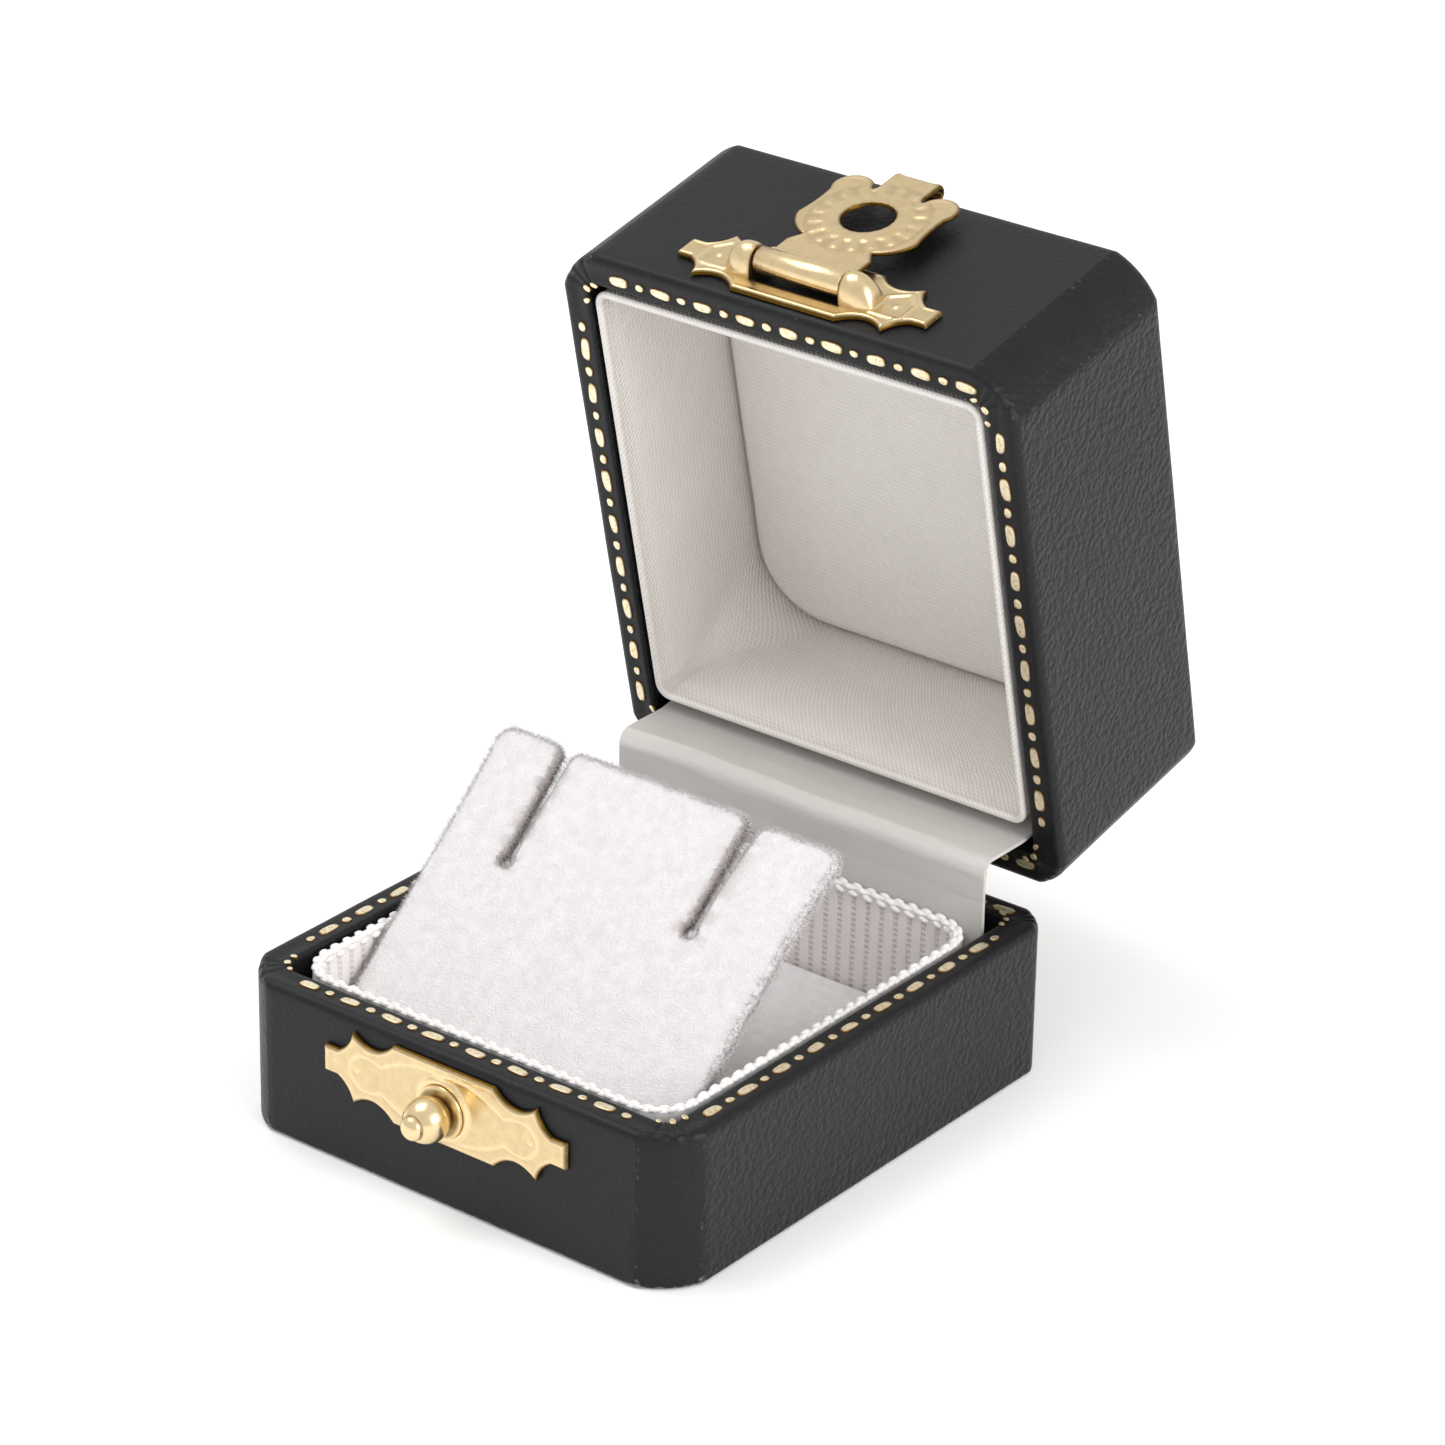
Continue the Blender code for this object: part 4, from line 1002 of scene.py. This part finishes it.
low, high = closed_box("lid_cushion")
cushion_sides = (high[0], low[1], high[1])
crown, back = low[2], high[2]
half_width, half_depth = high[0], (high[1] - low[1]) / 2
middle_y = (high[1] + low[1]) / 2
insets = np.concatenate([cushion_shoulder * (1 - np.cos(np.radians(np.linspace(0, 90, 12)))),
    np.linspace(cushion_shoulder, half_width, 40)[1:]])
face = round_rectangle(cushion_sides, cushion_radii, insets, arc=10, straight=50)
x, y = face[..., 0] / half_width, (face[..., 1] - middle_y) / half_depth
dome = (1 - np.abs(x) ** 2.4) * (1 - np.abs(y) ** 2.4)
over = np.clip(1 - insets / cushion_shoulder, 0, 1)[:, None]
shoulder = cushion_shoulder * (1 - np.sqrt(np.maximum(1 - over**2, 0)))
spread = joined(face[..., 0], face[..., 1], 0 * x)
wrinkles = 0.00010 * ripples(spread, 0.014, 71) * (1 - over) + 0.00006 * ripples(spread, 0.005, 72) * over
height = crown + cushion_hollow * (1 - dome) + shoulder + wrinkles
front = np.concatenate([face, height[..., None]], axis=-1)
side = np.concatenate([face[:1], np.full((1, face.shape[1], 1), back)], axis=-1)
behind = np.concatenate([face[-1:], np.full((1, face.shape[1], 1), back)], axis=-1)
grid = np.concatenate([behind, side, front])
cushion = grid_piece("lid_satin_cushion", turned(grid, -opening), uv=grid[..., :2], sharp=70)
fitted(liner, satin, "lid", "ivory_satin", "lid_satin_liner")
fitted(cushion, satin, "lid", "ivory_satin", "lid_cushion")


# ---------------------------------------------------------------------------------------------------------
# Clasp plates. Thin sheet metal, stamped in relief and brass plated. One is fixed on the front of the base
# and holds the knob. The other, on the lid, has a window cut for the hasp and a hoop at each side of it for
# the hasp's pin.

plate_thickness = 0.0004
plate_edge = 0.0004
shoulder, dip, tab_end = 0.0057, 0.0011, 0.0016
plate_half_height, knob_height = 0.0039, 0.0099
window_half, window_rise = 0.0049, 0.00145


def bowed(start, end, sag, steps):
    """Points on a parabola from start to end, that stands off the straight line by sag at its middle."""
    share = np.linspace(0, 1, steps + 1)[:, None]
    start, end = np.array(start), np.array(end)
    along = end - start
    off = np.array([-along[1], along[0]]) / np.linalg.norm(along)
    return start + along * share + off * 4 * sag * share * (1 - share)


def plate_edge_line(half_length, half_height):
    """The upper right quarter of the plates' scalloped outline, from the top's middle to the end's."""
    lobe = (half_length - 0.0033, half_height * 0.92)
    notch = (half_length - tab_end, half_height * 0.34)
    return np.concatenate([[(0, half_height)], bowed((shoulder, half_height), lobe, -dip, 14),
        bowed(lobe, notch, -0.00035, 10)[1:], [(half_length, half_height * 0.34), (half_length, 0)]])


def mirrored(quarter_line):
    """A closed outline from its upper right quarter."""
    right = np.concatenate([quarter_line, (quarter_line * (1, -1))[::-1]])
    return np.concatenate([right, (right * (-1, 1))[::-1]])


def ridge(distance, width):
    """A round-topped ridge: cos^2 of the distance over the width, and nothing beyond it."""
    return np.cos(np.pi / 2 * np.clip(distance / width, 0, 1)) ** 2


def stamped_plate(quarter_line, rows, edges, relief, window=None):
    """A plate's front and back, which meet along its outline and round its window.

    Its columns run across the plate, and each column's points lie at these shares of the outline's height
    there. The front stands out by the thickness times the root of 1 - (1 - d/e)^2 near an edge, for the
    distance d and the edge's width e.
    """
    half_length = quarter_line[-1, 0]
    turns = quarter_line[:-1]
    window_side = [window[0]] if window else []
    right = np.unique(np.concatenate([np.linspace(0, half_length, 110), turns[:, 0], window_side]))
    right = right[np.append(True, np.diff(right) > 2e-6)]
    columns = np.concatenate([-right[:0:-1], right])
    half_height = np.interp(np.abs(columns), turns[:, 0], turns[:, 1])
    across = rows[:, None] * half_height
    flat = joined(np.broadcast_to(columns, across.shape), across)
    distance = np.minimum.reduce([distance_to(flat, path) for path in edges])
    out = plate_thickness * np.sqrt(np.clip(1 - (1 - np.clip(distance / plate_edge, 0, 1)) ** 2, 0, 1))
    raised = relief(flat[..., 0], flat[..., 1]) * np.clip(distance / plate_edge, 0, 1)
    outer = np.abs(rows)[:, None] * np.ones_like(columns) > 0.9999
    outer |= np.abs(np.broadcast_to(columns, across.shape)) > half_length - 1e-9
    out = np.where(outer, 0, out + raised)
    faces = grid_faces(*across.shape)
    if window:
        middle = flat.reshape(-1, 2)[faces].mean(axis=1)
        reach, low, high = window
        cut = (np.abs(middle[:, 0]) < reach) & (middle[:, 1] > low) & (middle[:, 1] < high)
        faces = faces[~cut]
    sheets = [np.concatenate([flat, height[..., None]], axis=-1) for height in (out, 0 * out)]
    points = np.concatenate([sheet.reshape(-1, 3) for sheet in sheets])
    # Patina in the low field between the raised lines. Along every edge of the outline and the window the
    # darkening is painted shade, and the back, against the leather, is painted wholly dark as shade.
    tarnish = np.clip(1 - raised / 0.00012, 0, 1) * 0.25 + 0.95 * np.exp(-((distance / 0.00020) ** 2))
    return points, np.concatenate([faces, faces[:, ::-1] + across.size]), np.append(tarnish, 0 * tarnish + 1)


def revolved(profile, steps=48):
    """A solid turned about an axis: each (along, radius) of the profile goes round as radius (cos, sin)."""
    angle = np.linspace(0, 2 * np.pi, steps + 1)
    along, radius = np.array(profile).T[:, :, None]
    return joined(along + 0 * angle, radius * np.cos(angle), radius * np.sin(angle))


def pale_brass():
    """Pale plated brass: a soft mirror, worn bright on what stands proud and brown with patina in the stamped
    hollows.

    An attribute is 1 in the hollows and 0 on the high places. It also carries painted shade: dark along the
    edges of the plates and the hasp, over the plates' backs and on the closed ends of the hoops.
    """
    material = new_material("pale plated brass")
    place = node(material, "TexCoord").outputs["Object"]
    tarnish = node(material, "Attribute", attribute_name="tarnish").outputs["Fac"]
    spots = node(material, "TexNoise", {"Vector": place, "Scale": 1 / 0.0009, "Detail": 6.0})
    uneven = node(material, "Math", {0: spots, 1: 0.35, 2: tarnish},
        operation="MULTIPLY_ADD")
    # Brown patina in the hollows, and painted shade on the edges, the plates' backs and the hoops' ends.
    patina_and_shade_mix = node(material, "MapRange",
        {"Value": uneven, "From Min": 0.25, "From Max": 1.25})
    colour = node(material, "Mix",
        {"Factor": patina_and_shade_mix, "A": linear("#ecd4a6"), "B": linear("#5e4312")}, data_type="RGBA")
    gloss = node(material, "MapRange",
        {"Value": uneven, "From Max": 1.2, "To Min": 0.22, "To Max": 0.42})
    scuffs = node(material, "TexNoise", {"Vector": place, "Scale": 1 / 0.0004, "Detail": 5.0})
    bump = node(material, "Bump", {"Height": scuffs, "Strength": 0.25, "Distance": 0.00004})
    return finish_material(material, Base_Color=colour.outputs["Result"], Metallic=1.0,
        Roughness=gloss, Normal=bump)


def on_front(points, middle, face):
    """Points (across, up, out) of a plate put on the front: y = face - out and z = middle + up."""
    return joined(points[..., 0], face - points[..., 2], middle + points[..., 1])


brass = pale_brass()
plate_low, plate_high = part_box("clasp_plate")
plate_rows = np.sin(np.linspace(-np.pi / 2, np.pi / 2, 47))
half_length, half_height = plate_high.x, plate_half_height
plate_middle = plate_low.z + half_height
quarter_line = plate_edge_line(half_length, half_height)
outline = mirrored(quarter_line)
inner = np.array([(0, 0.0029), (0.0034, 0.0028), (0.0069, 0.0013), (0.0094, 0.00165), (0.0107, 0.0001)])
inner_line = mirrored(np.concatenate([bowed(a, b, 0.00018, 6)[:-1] for a, b in zip(inner[:-1], inner[1:])]))


def base_relief(x, up):
    """The base plate's relief: an inner line, a dot in each lobe, a ring round the knob and a rolled edge."""
    at = joined(x, up)
    line_height = 0.00011 * ridge(distance_to(at, inner_line), 0.00038)
    dots = 0.00016 * ridge(np.hypot(np.abs(x) - 0.0098, up), 0.0005)
    ring = 0.00024 * ridge(np.abs(np.hypot(x, up + plate_middle - knob_height) - 0.0027), 0.0006)
    rolled = 0.00008 * ridge(np.abs(distance_to(at, outline) - 0.0003), 0.0004)
    return np.maximum.reduce([line_height, dots, ring, rolled])


points, faces, tarnish = stamped_plate(quarter_line, plate_rows, [outline], base_relief)
points = on_front(points, plate_middle, plate_high.y)
base_plate = make_piece("brass_clasp_plate", points, faces, sharp=60, tarnish=tarnish)

lid_plate_low, lid_plate_high = closed_box("hasp_plate")
face = lid_plate_high[1]
hasp_axis = turned(np.array(joint_named("hasp_hinge")["pos_m"]), opening)
lid_plate_middle = lid_plate_low[2] + half_height
window_low = hasp_axis[2] - window_rise - lid_plate_middle
window = (window_half, window_low, hasp_axis[2] + window_rise - lid_plate_middle)
lid_rows = np.unique(np.concatenate([plate_rows, np.array(window[1:]) / half_height]))
window_line = np.array([(-1, 0), (1, 0), (1, 1), (-1, 1), (-1, 0)]) * (window[0], window[2] - window[1])
window_line = window_line + (0, window[1])


def lid_relief(x, up):
    """The lid plate's relief: a gabled frame with a dot in it at each side, and a rolled edge."""
    at = joined(np.abs(x), up)
    gable = np.array([(0.0080, -0.0017), (0.0080, 0.0010), (0.0098, 0.0022), (0.0112, 0.0008)])
    gable = np.concatenate([gable, [(0.0112, -0.0017), (0.0080, -0.0017)]])
    frame_height = 0.00012 * ridge(distance_to(at, gable), 0.00038)
    dots = 0.00016 * ridge(np.hypot(np.abs(x) - 0.0097, up), 0.0005)
    whole = joined(x, up)
    rolled = 0.00008 * ridge(np.abs(distance_to(whole, outline) - 0.0003), 0.0004)
    return np.maximum.reduce([frame_height, dots, rolled])


points, faces, tarnish = stamped_plate(quarter_line, lid_rows, [outline, window_line], lid_relief, window)
points = on_front(points, lid_plate_middle, face)
hoop_start, hoop_full, hoop_end = 0.0049, 0.0058, 0.0082
hoop_half, hoop_height = 0.00175, 0.0032


def hooped():
    """A hoop raised from the plate, as a grid of (across, up, out), from its open end to its foot.

    Round it the height is h sin a and the width w cos a. h falls to the foot as the root of 1 - t^2, and w as
    1 - 0.35 t^2.
    """
    across = np.concatenate([np.linspace(hoop_start, hoop_full, 5), np.linspace(hoop_full, hoop_end, 17)[1:]])
    fall = np.clip((across - hoop_full) / (hoop_end - hoop_full), 0, 1)
    swelling = 1 - 0.06 * np.exp(-(((across - hoop_start) / 0.0003) ** 2))
    height = hoop_height * np.sqrt(1 - fall**2) * swelling
    width = hoop_half * (1 - 0.35 * fall**2) * swelling
    angle = np.linspace(0, np.pi, 33)
    arch = joined(np.broadcast_to(across[:, None], (len(across), len(angle))),
        width[:, None] * np.cos(angle), height[:, None] * np.sin(angle) ** 0.85 - 0.0002)
    foot = arch * (1, 1, 0) - (0, 0, 0.0002)
    closed = np.concatenate([arch, foot[:, ::-1], arch[:, :1]], axis=1)
    middle = np.broadcast_to(closed[:1].mean(axis=1, keepdims=True), closed[:1].shape)
    return np.concatenate([middle, closed])


hoop = hooped()
hoop_faces = grid_faces(*hoop.shape[:2])
parts, groups, patina_and_shade_parts = [points], [faces], [tarnish]
for side in (1, -1):
    placed = on_front(hoop * (side, 1, 1), hasp_axis[2], face)
    groups.append(hoop_faces + sum(len(part) for part in parts))
    parts.append(placed.reshape(-1, 3))
    # The cap across each hoop's end, where a rolled hoop would be hollow, is painted dark as shade.
    patina_and_shade_parts.append(np.broadcast_to(0.15 + 0.6 * (hoop[..., 0] < hoop_start + 1e-6), hoop.shape[:2]).ravel())
points = turned(np.concatenate(parts), -opening)
lid_plate = make_piece("brass_hasp_plate", points, np.concatenate(groups), sharp=60,
    tarnish=np.concatenate(patina_and_shade_parts))


# The knob is turned from brass, with a flange, a ball that the hasp snaps over and a small nose, and is
# riveted through the base's plate.

ball_radius, ball_out = 0.0021, 0.0026
flange_radius, shank_radius = 0.0025, 0.0009
nose_tip = 0.0053
lower = np.radians(np.linspace(-48, 58, 22))
nose = np.radians(np.linspace(-15, 90, 12))
profile = np.concatenate([[(0.00015, 0), (0.00015, shank_radius), (0.00070, shank_radius),
    (0.00070, flange_radius * 0.96)], [(0.00080, flange_radius), (0.00098, flange_radius * 0.98),
    (0.00112, flange_radius * 0.84)], joined(ball_out + ball_radius * np.sin(lower),
    ball_radius * np.cos(lower)),
    joined(nose_tip - 0.0008 + 0.0008 * np.sin(nose), 0.00112 * np.cos(nose))])
turned_knob = revolved(profile, 64)
stain = np.zeros(len(profile))
stain[6:8] = 0.8
stain[-13:-11] = 0.7
knob_points = joined(turned_knob[..., 1], plate_high.y + 0.00015 - turned_knob[..., 0],
    knob_height + turned_knob[..., 2])
stain = np.broadcast_to(stain[:, None], knob_points.shape[:2])
knob = grid_piece("brass_knob", knob_points, sharp=50, tarnish=stain)


# The hasp is stamped from the same sheet, with petals round its hole, a barrel rolled at its top for the pin,
# and a tab for the thumb, whose end is curled over.

leaf_thickness = 0.0004
hole_up, hole_radius = 0.00965, 0.00245
barrel_radius, barrel_half = 0.00125, 0.00475
curl_start, curl_radius, curl_turn = 0.01685, 0.0006, np.radians(252)
petal_count, petal_depth = 18, 0.00017
tab_half = 0.0025


def leaf_outline():
    """The hasp's outline, leftwards round from its barrel: x across it and s down it from the pin."""
    tab_top = curl_start + curl_radius * curl_turn
    right = np.concatenate([[(0, 0), (0.0045, 0)], bowed((0.00465, 0.0002), (0.00465, 0.0038), 0, 6),
        bowed((0.0039, 0.0050), (0.0065, 0.0076), -0.0004, 10),
        bowed((0.0066, 0.0080), (0.0063, 0.01135), 0.0001, 8),
        arc_about(0.0047, 0.01355, 0.0020, -35, 165, 22), [(0.0026, 0.01425)],
        bowed((tab_half, 0.0147), (tab_half, tab_top - 0.0005), 0, 24),
        [(tab_half - 0.0002, tab_top - 0.0001), (tab_half - 0.0006, tab_top)]])
    return np.concatenate([right, (right * (-1, 1))[::-1]])


def curled(points):
    """The tab's end rolled up: past its start, s becomes an arc about a line a radius in front of it."""
    across, up, out = points[..., 0], points[..., 1], points[..., 2]
    angle = np.clip((up - curl_start) / curl_radius, 0, None)
    rolled_up = curl_start + (curl_radius - out) * np.sin(angle)
    rolled_out = curl_radius - (curl_radius - out) * np.cos(angle)
    past = up > curl_start
    return joined(across, np.where(past, rolled_up, up), np.where(past, rolled_out, out))


edge_line = even_steps(leaf_outline(), 0.00022, int)
middle = np.array((0, hole_up))
rays = edge_line - middle
far = np.linalg.norm(rays, axis=1)
heading = rays / far[:, None]
near = np.full(len(far), hole_radius)
share = 0.5 - 0.5 * np.cos(np.pi * np.linspace(0, 1, 46))
share = 0.5 * share + 0.5 * np.linspace(0, 1, 46)
reach = near + (far - near) * share[:, None]
flat = middle + heading * reach[..., None]
angle = np.arctan2(heading[:, 1], heading[:, 0])
from_hole, from_edge = reach - hole_radius, distance_to(flat, edge_line)
petal = np.abs(np.cos(petal_count / 2 * angle))[None, :]
inner_ring, outer_ring = ridge(from_hole - 0.00115, 0.0008), ridge(from_hole - 0.0027, 0.00055)
between_petals = np.abs(np.sin(petal_count / 2 * angle))[None, :]
relief = petal_depth * (inner_ring * petal**1.5 + 0.8 * outer_ring * between_petals**3)
relief = relief * np.clip(from_edge / 0.0007, 0, 1)
relief = relief + 0.00006 * ridge(np.abs(from_edge - 0.0004), 0.0004)
edge = np.minimum(from_hole, from_edge)
body = leaf_thickness / 2 * np.sqrt(np.clip(1 - (1 - np.clip(edge / 0.00025, 0, 1)) ** 2, 0, 1))
body[0], body[-1] = 0, 0
relief[0], relief[-1] = 0, 0
front = np.concatenate([flat, (relief + body)[..., None]], axis=-1)
back = np.concatenate([flat, (0.6 * relief - body)[..., None]], axis=-1)
grid = np.concatenate([front, back[::-1]])
# Patina in the low ground round the petals, and painted shade along every edge and round the hole.
leaf_tarnish = 0.22 + 0.30 * np.clip(0.5 - relief / petal_depth, 0, 1) * (from_hole < 0.0034)
leaf_tarnish = leaf_tarnish + 0.9 * np.exp(-((edge / 0.0002) ** 2))
leaf_tarnish = np.concatenate([leaf_tarnish, leaf_tarnish[::-1]])
grid = grid * (1, 1, -1)
grid = curled(grid)
leaf = joined(grid[..., 0], hasp_axis[1] + grid[..., 2], hasp_axis[2] + grid[..., 1])
barrel = np.concatenate([[(-barrel_half, 0), (-barrel_half, barrel_radius - 0.0002)],
    [(-barrel_half + 0.0002, barrel_radius), (barrel_half - 0.0002, barrel_radius)],
    [(barrel_half, barrel_radius - 0.0002), (barrel_half, 0)]])
barrel = revolved(barrel) + (0, hasp_axis[1], hasp_axis[2])
points = np.concatenate([leaf.reshape(-1, 3), barrel.reshape(-1, 3)])
leaf_faces, barrel_faces = grid_faces(*leaf.shape[:2]), grid_faces(*barrel.shape[:2], first=leaf[..., 0].size)
hasp = make_piece("brass_hasp", turned(points, -opening), [np.concatenate([leaf_faces, barrel_faces])],
    sharp=60, tarnish=np.append(leaf_tarnish.ravel(), np.full(barrel[..., 0].size, 0.15)))
fitted(base_plate, brass, "base", "pale_brass", "clasp_plate")
fitted(knob, brass, "base", "pale_brass", "clasp_knob")
fitted(lid_plate, brass, "lid", "pale_brass", "hasp_plate")
fitted(hasp, brass, "hasp", "pale_brass", "hasp_leaf")


# ---------------------------------------------------------------------------------------------------------
# Hinges. Two small brass butt hinges at the back, pressed from sheet, rolled round drawn pins and nailed on.

hinge_nodes = [name for name in frame["nodes"] if name.startswith(("left_hinge", "right_hinge"))]
coated([*sorted(hinge_nodes), "hasp_pin"], brass)


# ---------------------------------------------------------------------------------------------------------
# Studio. The box stands on a plain white table in a white room, under a broad soft light from above on the
# left and one from the right.


def white_table():
    """Matt white laminate: even, with barely any sheen."""
    material = new_material("matt white laminate")
    return finish_material(material, Base_Color=linear("#fafafa"), Roughness=0.8,
        Emission_Color=linear("#ffffff"), Emission_Strength=0.16)


floor_mesh = bpy.data.meshes.new("table_top")
table_half = 3
table_corners = [(x * table_half, y * table_half, 0) for x, y in ((-1, -1), (1, -1), (1, 1), (-1, 1))]
floor_mesh.from_pydata(table_corners, [], [(0, 1, 2, 3)])
floor_mesh.materials.append(white_table())
floor = bpy.data.objects.new("table_top", floor_mesh)
bpy.context.scene.collection.objects.link(floor)

world = bpy.data.worlds.new("white room")
world.use_nodes = True
world.node_tree.nodes["Background"].inputs["Color"].default_value = (1, 1, 1, 1)
world.node_tree.nodes["Background"].inputs["Strength"].default_value = 0.82
bpy.context.scene.world = world
bpy.context.scene.view_settings.view_transform = "Standard"


def soft_light(name, place, aim, size, power):
    """A square area light at a place, facing its aim."""
    lamp = bpy.data.lights.new(name, "AREA")
    lamp.shape, lamp.size, lamp.energy = "SQUARE", size, power
    light = bpy.data.objects.new(name, lamp)
    light.location = place
    light.rotation_euler = (Vector(aim) - Vector(place)).to_track_quat("-Z", "Y").to_euler()
    bpy.context.scene.collection.objects.link(light)


box_middle = (0, 0.005, 0.03)
soft_light("overhead softbox", (-0.25, -0.10, 0.60), box_middle, 0.40, 1.3)
soft_light("side softbox", (0.60, -0.05, 0.30), box_middle, 0.35, 2.1)

azimuth, elevation, roll = np.radians([37.85, 25.62, 1.08])
camera_place = Vector((0.2685, -0.3354, 0.2427))
away = Vector((np.sin(azimuth) * np.cos(elevation), -np.cos(azimuth) * np.cos(elevation), np.sin(elevation)))
level = Vector((np.cos(azimuth), np.sin(azimuth), 0))
upright = away.cross(level)
right = level * np.cos(roll) + upright * np.sin(roll)
up = upright * np.cos(roll) - level * np.sin(roll)
lens = bpy.data.cameras.new("camera")
lens.lens, lens.sensor_width, lens.clip_start = 136.2, 36.0, 0.01
camera = bpy.data.objects.new("camera", lens)
camera.matrix_world = Matrix((right, up, away)).transposed().to_4x4()
camera.location = camera_place
bpy.context.scene.collection.objects.link(camera)
bpy.context.scene.camera = camera
